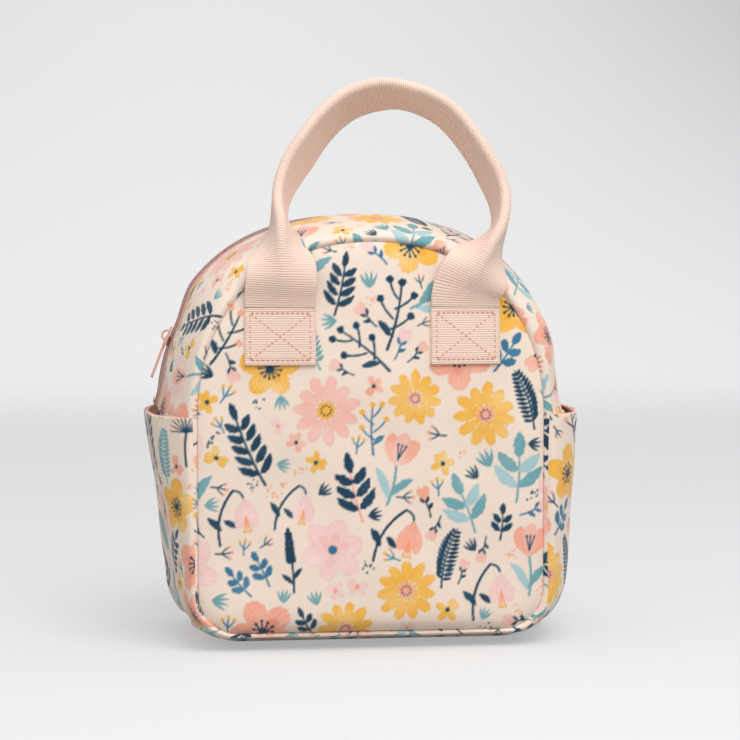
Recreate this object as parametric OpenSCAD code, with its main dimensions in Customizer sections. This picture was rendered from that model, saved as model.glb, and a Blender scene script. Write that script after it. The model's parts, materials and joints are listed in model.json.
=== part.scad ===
// Insulated lunch bag with a domed top: an arch zip, a front flap, two side
// slip pockets and one webbing handle sewn to the front panel.
// Frame: the origin is the centre of the base on the floor, +Z is up and the
// front panel faces -Y. The dome turns about an axis along Y at arch_z.

/* [Body] */
// Half width of the front and back panels, and radius of their arched tops
panel_r = 94; // [80:1:110]
// Height of the arch's centre, the fold line and the pocket tops
arch_z = 124; // [105:1:140]
// Distance from the middle of the bag to each panel's edge seam
seam_y = 60; // [50:1:72]
// How far the gusset swells past the panels' edges
bulge = 16; // [10:0.5:20]
// How far the panels swell past their edge seams
crown = 6; // [3:0.5:8]
// Height of the panels' bottom seams
seam_z = 7.5; // [6:0.5:9]
// Radius of the panels' bottom corners
panel_corner_r = 30; // [24:1:34]
// Radius of the gusset's bottom corners, seen from the front
gusset_corner_r = 40; // [36:1:44]
// Radius of the base's long edges, seen from the side
base_edge_r = 20; // [17:0.5:23]

/* [Layers] */
// Thickness of the outer fabric
skin_t = 1.6; // [1:0.1:2.2]
// Thickness of the insulating foam
foam_t = 3; // [2:0.25:5]
// Thickness of the lining
lining_t = 0.6; // [0.4:0.1:1]
// Thickness of the stiffening board in the base
board_t = 1.6; // [1:0.1:1.8]
// Length of the board along X
board_w = 120; // [90:1:130]
// Width of the board along Y
board_d = 76; // [60:1:84]

/* [Pockets] */
// Room between the gusset and the pocket's middle
pocket_gap = 6.5; // [5:0.25:10]
// Thickness of the pocket's fabric
pocket_t = 1.5; // [1:0.1:2]
// Distance of the pocket's sewn sides from the edge seams
pocket_inset = 1; // [0.5:0.1:2]
// Radius of the pocket's bottom corner, seen from the front
pocket_corner_r = 50; // [49:0.5:52]
// Height of the binding along the pocket's top edge
binding_h = 4; // [3:0.5:8]
// Thickness of the binding
binding_t = 0.5; // [0.3:0.1:0.8]

/* [Zip] */
// Distance of the zip's centre line behind the middle of the bag
zip_y = 8; // [0:1:12]
// Half width of the slot between the fabric edges
zip_slot = 7.5; // [6.5:0.25:9]
// Half width of the tape with its hidden edges
tape_half = 12; // [11:0.5:14]
// Thickness of the tape
tape_t = 0.6; // [0.4:0.1:0.8]
// Half width of the closed chain
chain_half = 2.9; // [2.5:0.1:3.2]
// How far the chain stands over the fabric
chain_rise = 0.3; // [0.1:0.1:0.6]
// Gap between the two halves of the zip, which the slider's post runs in
chain_gap = 1; // [0.9:0.1:1.4]
// Length of the slider along the zip
slider_len = 11; // [9:0.5:13]
// Half width of the slider
slider_half = 4.6; // [4.2:0.1:5.4]
// Thickness of the slider's top plate
slider_top_t = 1.2; // [1:0.1:1.6]
// Thickness of the slider's bottom plate
slider_bottom_t = 0.9; // [0.7:0.1:1.1]
// Thickness of the slider's post
post_t = 0.55; // [0.4:0.05:0.6]
// Running clearance between the slider and the zip
slider_clear = 0.35; // [0.3:0.05:0.45]
// Where the slider stands, as an angle round the arch from the right side
slider_angle = 159; // [150:1:168]

/* [Pull] */
// Outer radius of the slider's bail ring
bail_r = 3.4; // [3:0.1:3.8]
// Radius of the hole in the bail ring
bail_hole_r = 2.1; // [1.9:0.05:2.3]
// Width of the bail ring along its axis
bail_w = 1.8; // [1.4:0.1:2.2]
// Radius of the pull's crossbar, which hangs in the bail ring
bar_r = 0.75; // [0.6:0.05:0.9]
// Clearance between the crossbar and the bail ring
bar_clear = 0.3; // [0.25:0.05:0.35]
// Length of the pull below its crossbar
pull_len = 24; // [18:1:30]
// Width of the pull
pull_w = 6; // [5.4:0.2:8]
// Thickness of the pull
pull_t = 1.4; // [1:0.1:1.5]
// Lean of the hanging pull away from the bag
pull_lean = 10; // [8:1:16]

/* [Handle] */
// Width of the webbing
web_w = 38; // [30:1:42]
// Thickness of the webbing
web_t = 2.2; // [1.6:0.1:2.6]
// Distance of each sewn end from the middle of the panel
tab_x = 50; // [44:0.5:54]
// Height of the sewn ends' top edges
tab_top_z = 183; // [178:0.5:190]
// Height of each sewn end
tab_h = 31; // [26:0.5:36]
// Gap between a sewn end and the loop that bends away from it
handle_gap = 0.3; // [0.3:0.05:0.5]
// Lean of the loop towards the back
handle_lean = 17; // [12:1:20]
// Height of the loop's top over the sewn ends
handle_rise = 118; // [100:1:135]

/* [Stitching] */
// Length of one stitch
stitch_len = 2.4; // [1.6:0.1:3]
// Distance between the starts of two stitches
stitch_pitch = 3.4; // [3.2:0.1:4.5]
// Width of the thread
thread_w = 0.6; // [0.4:0.05:0.8]
// Height of a stitch over the webbing
thread_t = 0.35; // [0.2:0.05:0.5]
// Distance of the stitch box from the edges of the webbing
stitch_margin = 3; // [2:0.25:5]

/* [Fold] */
// Tilt of the fold's plane, from the front up to the zip over the slider
fold_tilt = 33; // [31:1:36]
// Gap at the fold's plane
fold_gap = 0.2; // [0.1:0.05:0.4]
// How far the fold's line lies in front of the front panel's middle
fold_out = 0.6; // [0.5:0.1:1]

/* [Hidden] */
$fn = 96;
big = 600;

// Radii of the arcs that make the section of the body, and their directions
bulge_rad = (seam_y * seam_y + bulge * bulge) / (2 * bulge);
crown_rad = (panel_r * panel_r + crown * crown) / (2 * crown);
gusset_r = panel_r + bulge;
bulge_x = gusset_r - bulge_rad;
crown_y = crown_rad - seam_y - crown;
front_y = -(seam_y + crown);
// Direction from an edge seam into the body, halfway between the two fabrics
seam_turn = (asin(panel_r / crown_rad) - asin(seam_y / bulge_rad)) / 2;
seam_dir = [-cos(45 - seam_turn), sin(45 - seam_turn)];
seam_reach = 20;
seam_turned = 0.1;
seam_at = [panel_r + seam_turned, -seam_y];
seam_out = seam_at - seam_reach * seam_dir;
seam_in = seam_at + seam_reach * seam_dir;

// Depths of the layers below the outer surface
foam_d = skin_t;
lining_d = skin_t + foam_t;
room_d = skin_t + foam_t + lining_t;
tape_d = skin_t;

// The pocket's arc, from its sewn sides out to its middle
pocket_end = seam_y - pocket_inset;
pocket_seat = panel_r + pocket_t;
pocket_half = gusset_r + pocket_gap + pocket_t;
pocket_out = pocket_half - pocket_seat;
pocket_rad = (pocket_end * pocket_end + pocket_out * pocket_out) / (2 * pocket_out);
pocket_x = pocket_half - pocket_rad;

// Zip radii at the zip's centre line
function arch_radius(d) = bulge_x + sqrt(pow(bulge_rad - d, 2) - zip_y * zip_y);
slider_top_d = -(chain_rise + slider_clear + slider_top_t);
slider_deg = slider_len / 2 / arch_radius(0) * 180 / PI;
stop_deg = 1.5;
stop_start = 2;
stop_t = 0.5;

// Centre of the bail ring, and of the crossbar in it, in the slider's frame
bail_x = arch_radius(slider_top_d) + bail_r - 1;
bar_play = bail_hole_r - bar_r - bar_clear;
bail_at = [bail_x * cos(slider_angle), bail_x * sin(slider_angle)];
bar_at = bail_at - bar_play * [sin(pull_lean), cos(pull_lean)];
slot_len = bail_r + bar_play + bar_clear;
slot_w = bail_w + 2 * bar_clear;
pull_tip_r = 1.4;

// Handle: the loop's ends and its route through round points
tab_turn = asin(tab_x / crown_rad);
tab_y = panel_surface_y(tab_x, tab_top_z);
loop_y = tab_y - handle_gap - web_t / 2;
loop_z = tab_top_z + handle_gap;
handle_back = handle_rise * tan(handle_lean);
// The route's points: across, share of the lean, and height for this rise
route_rise = 118;
loop_route = [
  [-tab_x, 0, 0], [-tab_x, -0.03, 5], [-51, -0.1, 18], [-52, 0.16, 40], [-48, 0.45, 62],
  [-32, 0.78, 92], [-11, 0.94, 112], [17, 1, 117], [43, 0.92, 107], [62, 0.7, 84],
  [69, 0.45, 64], [65, 0.12, 43], [54, -0.16, 20], [tab_x, -0.03, 5], [tab_x, 0, 0]
];
loop_turn = [
  tab_turn, tab_turn + 1, 28, 82, 90, 90, 90, 90, 90, 90, 90, 98, 152,
  179 - tab_turn, 180 - tab_turn
];
loop_step = 0.2;
loop_nudge = 0.02;

function panel_surface_y(x, z) =
  crown_y - sqrt(crown_rad * crown_rad - x * x - pow(z - arch_z, 2));

// ---------------------------------------------------------------- sections

// Section of the body through the dome's axis, d below the surface.
// X is the distance from the axis and Y is the depth of the bag.
module envelope(d) {
  intersection() {
    translate([0, crown_y]) circle(r = crown_rad - d, $fn = 720);
    translate([0, -crown_y]) circle(r = crown_rad - d, $fn = 720);
    translate([bulge_x, 0]) circle(r = bulge_rad - d, $fn = 360);
    translate([0, -big / 2]) square([big, big]);
  }
}

module layer(from, to) {
  difference() {
    envelope(from);
    envelope(to);
  }
}

module panel_zone() {
  polygon([[0, seam_out.y], seam_out, seam_in, [0, seam_in.y]]);
}

// The gusset between the front seam and a cut at depth y
module gusset_zone(y) {
  polygon([seam_out, [big, seam_out.y], [big, y], [0, y], [0, seam_in.y], seam_in]);
}

module back(behind) {
  if (behind) mirror([0, 1]) children();
  else children();
}

module strip(y0, y1) {
  translate([0, y0]) square([big, y1 - y0]);
}

// Turns a section round the dome's axis, from angle a over a turn
module dome(a = 0, turn = 180) {
  translate([0, 0, arch_z])
    rotate([90, 0, 0])
      rotate([0, 0, a])
        rotate_extrude(angle = turn, $fn = 180)
          mirror([0, 1])
            children();
}

// Rectangle of width w and height h with its two bottom corners rounded
module round_bottom(w, h, r) {
  translate([-w / 2, r]) square([w, h - r]);
  translate([-w / 2 + r, 0]) square([w - 2 * r, h]);
  translate([-w / 2 + r, r]) circle(r = r);
  translate([w / 2 - r, r]) circle(r = r);
}

module front_view(y0, y1) {
  translate([0, y1, 0]) rotate([90, 0, 0]) linear_extrude(y1 - y0) children();
}

module side_view() {
  translate([-big / 2, 0, 0]) rotate([90, 0, 90]) linear_extrude(big) children();
}

// The straight lower body, d below its surface, from a plan section
module tub(d) {
  intersection() {
    linear_extrude(arch_z) children();
    front_view(-big / 2, big / 2)
      translate([0, d])
        round_bottom(2 * (gusset_r - d), big, gusset_corner_r - d);
    side_view()
      translate([0, d])
        round_bottom(2 * (seam_y + crown - d), big, base_edge_r - d);
  }
}

module both_sides() {
  children();
  mirror([1, 0]) children();
}

// One layer of the lower body
module tub_layer(from, to) {
  difference() {
    tub(from) both_sides() envelope(from);
    tub(to) both_sides() envelope(to);
  }
}

// The lower body's region in front of the edge seams
module tub_panel_zone() {
  intersection() {
    linear_extrude(arch_z) both_sides() panel_zone();
    front_view(seam_out.y, seam_in.y)
      translate([0, seam_z])
        round_bottom(2 * seam_out.x, big, panel_corner_r);
    front_view(seam_out.y, seam_in.y)
      translate([0, seam_z])
        round_bottom(2 * panel_r, big, panel_corner_r);
  }
}

module tub_panel_zones() {
  tub_panel_zone();
  mirror([0, 1, 0]) tub_panel_zone();
}

// Everything over the fold's plane, which turns up from the front fold line
module over_fold(gap) {
  translate([0, front_y - fold_out, arch_z])
    rotate([fold_tilt, 0, 0])
      translate([-big / 2, -big / 2, gap])
        cube([big, big, big]);
}

// ------------------------------------------------------------------ layers

module flap_panel(from, to) {
  intersection() {
    dome() intersection() {
      layer(from, to);
      panel_zone();
    }
    over_fold(fold_gap);
  }
}

module lower_panel(from, to) {
  intersection() {
    tub_layer(from, to);
    tub_panel_zone();
  }
  difference() {
    dome() intersection() {
      layer(from, to);
      panel_zone();
    }
    over_fold(0);
  }
}

module whole_back_panel(from, to) {
  intersection() {
    tub_layer(from, to);
    mirror([0, 1, 0]) tub_panel_zone();
  }
  dome() intersection() {
    layer(from, to);
    back(true) panel_zone();
  }
}

module flap_gusset(from, to, edge) {
  intersection() {
    dome() intersection() {
      layer(from, to);
      gusset_zone(zip_y - edge);
    }
    over_fold(fold_gap);
  }
}

module rear_gusset(from, to, edge) {
  dome() intersection() {
    layer(from, to);
    back(true) gusset_zone(-zip_y - edge);
  }
}

// One side below the dome, with the gusset's part below the fold's plane
module side(from, to, edge, right) {
  reach = right ? 1 : -1;
  difference() {
    tub_layer(from, to);
    tub_panel_zones();
    translate([right ? -big : -side_x, -big / 2, -1]) cube([big + side_x, big, big]);
  }
  difference() {
    dome(right ? 0 : 90, 90) intersection() {
      layer(from, to);
      gusset_zone(zip_y - edge);
    }
    over_fold(0);
  }
}

side_x = gusset_r - gusset_corner_r;

module bottom(from, to) {
  intersection() {
    difference() {
      tub_layer(from, to);
      tub_panel_zones();
    }
    translate([-side_x, -big / 2, -1]) cube([2 * side_x, big, arch_z]);
  }
}

// ------------------------------------------------------------ outer fabric

module front_panel_upper() {
  color("#F3E4D6") flap_panel(0, foam_d);
}

module front_panel_lower() {
  color("#F3E4D6") lower_panel(0, foam_d);
}

module back_panel() {
  color("#F3E4D6") whole_back_panel(0, foam_d);
}

module front_gusset() {
  color("#F0DFD0") flap_gusset(0, foam_d, zip_slot);
}

module back_gusset() {
  color("#F0DFD0") rear_gusset(0, foam_d, zip_slot);
}

module side_panel_left() {
  color("#F0DFD0") side(0, foam_d, zip_slot, false);
}

module side_panel_right() {
  color("#F0DFD0") side(0, foam_d, zip_slot, true);
}

module base_panel() {
  color("#F0DFD0") bottom(0, foam_d);
}

// -------------------------------------------------------------- insulation

foam_edge = tape_half + 0.5;

module foam_front_upper() {
  color("#F7F7F2") flap_panel(foam_d, lining_d);
}

module foam_front_lower() {
  color("#F7F7F2") lower_panel(foam_d, lining_d);
}

module foam_back() {
  color("#F7F7F2") whole_back_panel(foam_d, lining_d);
}

module foam_front_gusset() {
  color("#F7F7F2") flap_gusset(foam_d, lining_d, foam_edge);
}

module foam_back_gusset() {
  color("#F7F7F2") rear_gusset(foam_d, lining_d, foam_edge);
}

module foam_side_left() {
  color("#F7F7F2") side(foam_d, lining_d, foam_edge, false);
}

module foam_side_right() {
  color("#F7F7F2") side(foam_d, lining_d, foam_edge, true);
}

module foam_base() {
  color("#F7F7F2") difference() {
    bottom(foam_d, lining_d);
    board_block();
  }
}

module board_block() {
  translate([-board_w / 2, -board_d / 2, lining_d - board_t])
    cube([board_w, board_d, board_t]);
}

module base_board() {
  color("#D9D4CC") board_block();
}

// ------------------------------------------------------------------ lining

module lining_front_upper() {
  color("#C9CDD0") flap_panel(lining_d, room_d);
}

module lining_front_lower() {
  color("#C9CDD0") lower_panel(lining_d, room_d);
}

module lining_back() {
  color("#C9CDD0") whole_back_panel(lining_d, room_d);
}

module lining_front_gusset() {
  color("#C9CDD0") flap_gusset(lining_d, room_d, foam_edge);
}

module lining_back_gusset() {
  color("#C9CDD0") rear_gusset(lining_d, room_d, foam_edge);
}

module lining_side_left() {
  color("#C9CDD0") side(lining_d, room_d, foam_edge, false);
}

module lining_side_right() {
  color("#C9CDD0") side(lining_d, room_d, foam_edge, true);
}

module lining_base() {
  color("#C9CDD0") bottom(lining_d, room_d);
}

// ----------------------------------------------------------------- pockets

// Plan section of the pocket's wall, between two depths below its outside
module pocket_section(from, to) {
  difference() {
    intersection() {
      translate([pocket_x, 0]) circle(r = pocket_rad - from, $fn = 360);
      translate([0, -pocket_end]) square([big, 2 * pocket_end]);
    }
    translate([pocket_x, 0]) circle(r = pocket_rad - to, $fn = 360);
    envelope(0);
  }
}

// Space beside the body, d inside the pocket's outside, seen from the front
module pocket_outline(d) {
  front_view(-big / 2, big / 2)
    translate([0, d])
      round_bottom(2 * (pocket_half - d), big, pocket_corner_r - d);
}

module body_outline() {
  intersection() {
    translate([0, 0, -1]) linear_extrude(arch_z + 2) envelope(0);
    front_view(-big / 2, big / 2) round_bottom(2 * gusset_r, big, gusset_corner_r);
  }
}

module side_pocket() {
  top = arch_z - binding_t;
  difference() {
    intersection() {
      translate([0, 0, seam_z])
        linear_extrude(top - seam_z)
          intersection() {
            translate([pocket_x, 0]) circle(r = pocket_rad, $fn = 360);
            translate([0, -pocket_end]) square([big, 2 * pocket_end]);
          }
      pocket_outline(0);
    }
    intersection() {
      linear_extrude(big)
        translate([pocket_x, 0]) circle(r = pocket_rad - pocket_t, $fn = 360);
      pocket_outline(pocket_t);
    }
    body_outline();
  }
}

// Tape folded over the pocket's top edge
module pocket_tape() {
  translate([0, 0, arch_z - binding_h]) {
    linear_extrude(binding_h) pocket_section(-binding_t, 0);
    linear_extrude(binding_h) pocket_section(pocket_t, pocket_t + binding_t);
    translate([0, 0, binding_h - binding_t])
      linear_extrude(binding_t) pocket_section(-binding_t, pocket_t + binding_t);
  }
}

module pocket_left() {
  color("#F3E4D6") mirror([1, 0, 0]) side_pocket();
}

module pocket_right() {
  color("#F3E4D6") side_pocket();
}

module pocket_binding_left() {
  color("#E8A58C") mirror([1, 0, 0]) pocket_tape();
}

module pocket_binding_right() {
  color("#E8A58C") pocket_tape();
}

// --------------------------------------------------------------------- zip

module tape_section(front) {
  intersection() {
    layer(tape_d, tape_d + tape_t);
    if (front) strip(zip_y - tape_half, zip_y - chain_gap / 2);
    else strip(zip_y + chain_gap / 2, zip_y + tape_half);
  }
}

module chain_section(front) {
  intersection() {
    layer(-chain_rise, tape_d);
    if (front) strip(zip_y - chain_half, zip_y - chain_gap / 2);
    else strip(zip_y + chain_gap / 2, zip_y + chain_half);
  }
}

module flap_part() {
  intersection() {
    children();
    over_fold(fold_gap);
  }
}

module bag_part() {
  difference() {
    children();
    over_fold(0);
  }
}

module zip_tape_front() {
  color("#EFB9A4") flap_part() dome() tape_section(true);
}

module zip_tape_front_ends() {
  color("#EFB9A4") bag_part() dome() tape_section(true);
}

module zip_tape_back() {
  color("#EFB9A4") dome() tape_section(false);
}

module zip_chain_front() {
  color("#D99A86") flap_part() dome() chain_section(true);
}

module zip_chain_front_ends() {
  color("#D99A86") bag_part() dome() chain_section(true);
}

module zip_chain_back() {
  color("#D99A86") dome() chain_section(false);
}

// A metal clip across both chains at each end of the zip
module zip_stops() {
  color("#D99A86")
    for (a = [stop_start, 180 - stop_start - stop_deg])
      dome(a, stop_deg) intersection() {
        layer(-chain_rise - stop_t, -chain_rise);
        strip(zip_y - chain_half, zip_y + chain_half);
      }
}

module slider_band(from, to, half) {
  dome(slider_angle - slider_deg, 2 * slider_deg) intersection() {
    layer(from, to);
    strip(zip_y - half, zip_y + half);
  }
}

module slider_post() {
  dome(slider_angle, slider_deg) intersection() {
    layer(slider_top_d + slider_top_t / 2, tape_d + tape_t + slider_clear + slider_bottom_t / 2);
    strip(zip_y - post_t / 2, zip_y + post_t / 2);
  }
}

// Ring on the slider that the pull hangs in
module bail() {
  translate([bail_at.x, zip_y + bail_w / 2, arch_z + bail_at.y])
    rotate([90, 0, 0])
      difference() {
        cylinder(r = bail_r, h = bail_w);
        translate([0, 0, -1]) cylinder(r = bail_hole_r, h = bail_w + 2);
      }
}

module zip_slider() {
  color("#E3A08C") {
    slider_band(slider_top_d, slider_top_d + slider_top_t, slider_half);
    bottom_d = tape_d + tape_t + slider_clear;
    slider_band(bottom_d, bottom_d + slider_bottom_t, slider_half);
    slider_post();
    bail();
  }
}

// The pull in its own frame: the crossbar on Y, the plate hanging to -Z
module pull_plate() {
  difference() {
    translate([-pull_t / 2, 0, 0])
      rotate([90, 0, 90])
        linear_extrude(pull_t)
          difference() {
            union() {
              translate([-pull_w / 2, pull_tip_r - pull_len])
                square([pull_w, pull_len - pull_tip_r]);
              translate([-pull_w / 2 + pull_tip_r, -pull_len])
                square([pull_w - 2 * pull_tip_r, pull_len]);
              for (side = [-1, 1])
                translate([side * (pull_w / 2 - pull_tip_r), pull_tip_r - pull_len])
                  circle(r = pull_tip_r);
            }
            translate([-slot_w / 2, -slot_len]) square([slot_w, slot_len + 1]);
          }
  }
  rotate([90, 0, 0]) translate([0, 0, -pull_w / 2]) cylinder(r = bar_r, h = pull_w);
}

module zip_pull() {
  color("#E3A08C")
    translate([bar_at.x, zip_y, arch_z + bar_at.y])
      rotate([0, pull_lean, 0])
        pull_plate();
}

// ------------------------------------------------------------------ handle

// Block that cuts a sewn end out of a curved sheet
module tab_block(x) {
  translate([x - web_w / 2, -big / 2, tab_top_z - tab_h]) cube([web_w, big / 2, tab_h]);
}

module front_sphere(lift) {
  translate([0, crown_y, arch_z]) sphere(r = crown_rad + lift, $fn = 360);
}

module sewn_end(x) {
  intersection() {
    difference() {
      front_sphere(web_t);
      front_sphere(0);
    }
    tab_block(x);
  }
}

module handle_tab_left() {
  color("#E8BFA6") sewn_end(-tab_x);
}

module handle_tab_right() {
  color("#E8BFA6") sewn_end(tab_x);
}

// Clearance of a straight stitch over the curved webbing
stitch_seat = 0.02;

// Stitches along a straight line on a sewn end, from a to b
module stitch_row(a, b) {
  span = norm(b - a);
  count = floor((span - stitch_len) / stitch_pitch) + 1;
  start = (span - (count - 1) * stitch_pitch - stitch_len) / 2;
  turn = atan2(b.y - a.y, b.x - a.x);
  for (i = [0 : count - 1]) {
    along = start + i * stitch_pitch + stitch_len / 2;
    at = a + (b - a) * along / span;
    y = crown_y - sqrt(pow(crown_rad + web_t, 2) - at.x * at.x - pow(at.y - arch_z, 2));
    translate([at.x, y, at.y])
      rotate([-asin((at.y - arch_z) / crown_rad), 0, asin(at.x / crown_rad)])
        rotate([0, -turn, 0])
          translate([-stitch_len / 2, -thread_t - stitch_seat, -thread_w / 2])
            cube([stitch_len, thread_t, thread_w]);
  }
}

// A stitched box with a cross in it
module box_stitch(x) {
  half = web_w / 2 - stitch_margin;
  low = tab_top_z - tab_h + stitch_margin;
  high = tab_top_z - stitch_margin;
  inset = stitch_len;
  stitch_row([x - half, low], [x + half, low]);
  stitch_row([x - half, high], [x + half, high]);
  stitch_row([x - half, low + inset], [x - half, high - inset]);
  stitch_row([x + half, low + inset], [x + half, high - inset]);
  stitch_row([x - half + inset, low + inset], [x + half - inset, high - inset]);
  middle = (low + high) / 2;
  for (s = [-1, 1])
    stitch_row(
      [x + s * inset, middle - s * inset * (high - low) / (2 * half)],
      [x + s * (half - inset), s > 0 ? low + inset : high - inset]
    );
}

module tab_stitching_left() {
  color("#D9A78F") box_stitch(-tab_x);
}

module tab_stitching_right() {
  color("#D9A78F") box_stitch(tab_x);
}

// The loop's route in the bag's frame, and a smooth curve through its points
function route_point(p) =
  [p.x, loop_y + p.y * handle_back, loop_z + p.z * handle_rise / route_rise];
function spline(a, b, c, d, t) =
  0.5 * (2 * b + (c - a) * t + (2 * a - 5 * b + 4 * c - d) * t * t
    + (3 * b - a - 3 * c + d) * t * t * t);
function pick(list, i) = list[max(0, min(len(list) - 1, i))];
function along(list, s) =
  let (i = min(floor(s), len(list) - 2))
  spline(pick(list, i - 1), pick(list, i), pick(list, i + 1), pick(list, i + 2), s - i);

function unit(v) = v / norm(v);

loop_points = [for (p = loop_route) route_point(p)];
loop_end = len(loop_route) - 1;
loop_steps = [for (s = [0 : loop_step : loop_end + 0.01]) min(s, loop_end)];

// Directions along the loop: along it, across the webbing and out of it
function loop_along(s) =
  unit(along(loop_points, min(s + loop_nudge, loop_end)) - along(loop_points, max(s - loop_nudge, 0)));
function loop_across(s) =
  let (
    turn = along(loop_turn, s),
    lean = handle_lean * sin(turn),
    w = [cos(turn), -sin(turn) * cos(lean), sin(turn) * sin(lean)],
    t = s < 1 || s > loop_end - 1 ? [0, 0, s < 1 ? 1 : -1] : loop_along(s)
  )
  unit(w - (w * t) * t);
function loop_out(s) =
  unit(cross(loop_across(s), s < 1 || s > loop_end - 1 ? [0, 0, s < 1 ? 1 : -1] : loop_along(s)));

function loop_ring(s) =
  let (
    c = along(loop_points, s),
    w = loop_across(s) * web_w / 2,
    n = loop_out(s) * web_t / 2
  )
  [c - w - n, c + w - n, c + w + n, c - w + n];

module handle() {
  rings = [for (s = loop_steps) each loop_ring(s)];
  count = len(loop_steps);
  walls = [for (i = [0 : count - 2], j = [0 : 3])
    each [
      [4 * i + j, 4 * i + (j + 1) % 4, 4 * i + 4 + (j + 1) % 4],
      [4 * i + j, 4 * i + 4 + (j + 1) % 4, 4 * i + 4 + j]
    ]];
  last = 4 * (count - 1);
  caps = [[3, 2, 1, 0], [last, last + 1, last + 2, last + 3]];
  color("#E8BFA6") polyhedron(points = rings, faces = concat(walls, caps), convexity = 6);
}

front_panel_upper();
front_panel_lower();
back_panel();
front_gusset();
back_gusset();
side_panel_left();
side_panel_right();
base_panel();
foam_front_upper();
foam_front_lower();
foam_back();
foam_front_gusset();
foam_back_gusset();
foam_side_left();
foam_side_right();
foam_base();
lining_front_upper();
lining_front_lower();
lining_back();
lining_front_gusset();
lining_back_gusset();
lining_side_left();
lining_side_right();
lining_base();
base_board();
pocket_left();
pocket_right();
pocket_binding_left();
pocket_binding_right();
zip_tape_front();
zip_tape_front_ends();
zip_tape_back();
zip_chain_front();
zip_chain_front_ends();
zip_chain_back();
zip_stops();
zip_slider();
zip_pull();
handle();
handle_tab_left();
handle_tab_right();
tab_stitching_left();
tab_stitching_right();
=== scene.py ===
import json
import math

import bmesh
import bpy
import numpy as np
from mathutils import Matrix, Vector


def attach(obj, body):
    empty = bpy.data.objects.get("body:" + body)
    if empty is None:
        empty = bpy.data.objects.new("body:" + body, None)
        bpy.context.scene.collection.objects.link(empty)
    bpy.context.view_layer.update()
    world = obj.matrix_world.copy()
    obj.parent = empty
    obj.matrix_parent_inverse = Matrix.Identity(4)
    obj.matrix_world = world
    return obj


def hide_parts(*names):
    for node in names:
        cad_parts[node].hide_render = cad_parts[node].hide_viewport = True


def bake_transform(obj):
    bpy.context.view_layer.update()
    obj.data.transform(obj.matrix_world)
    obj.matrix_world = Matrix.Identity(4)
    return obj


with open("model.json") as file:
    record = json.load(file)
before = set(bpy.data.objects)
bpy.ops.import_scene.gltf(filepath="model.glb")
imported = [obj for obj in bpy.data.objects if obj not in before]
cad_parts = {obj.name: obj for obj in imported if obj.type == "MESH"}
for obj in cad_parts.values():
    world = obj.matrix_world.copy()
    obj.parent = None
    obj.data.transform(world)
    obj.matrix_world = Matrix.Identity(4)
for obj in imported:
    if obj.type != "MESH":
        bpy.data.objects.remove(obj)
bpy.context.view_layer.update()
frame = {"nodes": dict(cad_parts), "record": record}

# ---- sizes, in millimetres
PANEL_R, ARCH_Z, SEAM_Y, BULGE, CROWN = 94.0, 124.0, 60.0, 16.0, 6.0
SEAM_Z, CORNER_R, OUTER_CORNER_R = 7.5, 22.0, 29.0
SIDE_FULL, SHOULDER_FULL, SEAM_FULL, PARKED_FULL = 4.5, 4.5, 2.5, 2.5
ARCH_R = PANEL_R + BULGE
CROWN_RAD = (PANEL_R ** 2 + CROWN ** 2) / (2 * CROWN)
CROWN_Y = CROWN_RAD - SEAM_Y - CROWN
PAD_T, POCKET_T = 5.2, 1.6
EDGE_Y, LINING_Y, POCKET_Y = 59.0, 54.5, 59.6
ZIP_Y, ZIP_SLOT, TAPE_HALF, TAPE_R = 8.0, 7.5, 12.0, 108
WEB_W, WEB_T, WEB_RIB = 38.0, 2.2, 1.24
TAB_X, TAB_TOP, TAB_H = 50.0, 183.0, 31.0
# Where the side panels and the pockets end, as places on path()
PAD_END, POCKET_END = 1.55, 1.56
# A padded piece's outer grid has a point every STEP, and its inner one a point for every COARSE of those
STEP, COARSE = 0.65, 8
MM = 0.001
SCENE = bpy.context.scene

# ---- colours, as sRGB
CREAM = (0.950, 0.872, 0.808)
CORAL, BLUSH, ROSE = (0.972, 0.665, 0.560), (0.966, 0.800, 0.775), (0.960, 0.730, 0.670)
MUSTARD, AMBER = (0.965, 0.710, 0.265), (0.985, 0.600, 0.380)
NAVY, BLUE = (0.045, 0.215, 0.320), (0.200, 0.440, 0.580)
TEAL, MIST = (0.420, 0.640, 0.670), (0.640, 0.785, 0.805)
PALE = (1.0, 0.965, 0.94)
# The tone that is mixed into each petal's colour at its heart
DEEP = {CORAL: (0.925, 0.520, 0.410), BLUSH: (0.960, 0.690, 0.650),
        ROSE: (0.945, 0.600, 0.540), MUSTARD: (0.930, 0.600, 0.130)}


def linear(c):
    """A colour in sRGB as a linear one."""
    c = np.asarray(c, float)
    return np.where(c <= 0.04045, c / 12.92, ((c + 0.055) / 1.055) ** 2.4)


# ---- the printed cloth
# The cloth repeats every TILE, with RES points to a millimetre, and motifs keep MARGIN of clear cloth
TILE, RES, MARGIN = 320.0, 4.0, 0.35
N, CELLS = int(TILE * RES), int(TILE)
rng = np.random.default_rng(20)


def soft_noise(size_mm, seed):
    """Noise from 0 to 1 that repeats with the cloth, with blots of about size_mm."""
    f = np.fft.fftfreq(N) * N / TILE
    f2 = f[:, None] ** 2 + f[None, :] ** 2
    white = np.random.default_rng(seed).standard_normal((N, N))
    a = np.fft.ifft2(np.fft.fft2(white) * np.exp(-f2 * size_mm ** 2 * 2.2)).real
    a = (a - a.mean()) / a.std()
    return np.clip(0.5 + a * 0.22, 0, 1)


def bent(p0, p1, bend=0.0, n=9):
    p0, p1 = np.array(p0, float), np.array(p1, float)
    d = p1 - p0
    mid = (p0 + p1) / 2 + bend * np.array([-d[1], d[0]])
    t = np.linspace(0, 1, n)[:, None]
    return (1 - t) ** 2 * p0 + 2 * t * (1 - t) * mid + t * t * p1


def line(c, p0, p1, bend=0.0, w=0.5, w1=None):
    p = bent(p0, p1, bend)
    return dict(p=p, r=np.linspace(w, w if w1 is None else w1, len(p)), c=c, wash=0.0, streak=0.0)


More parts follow.
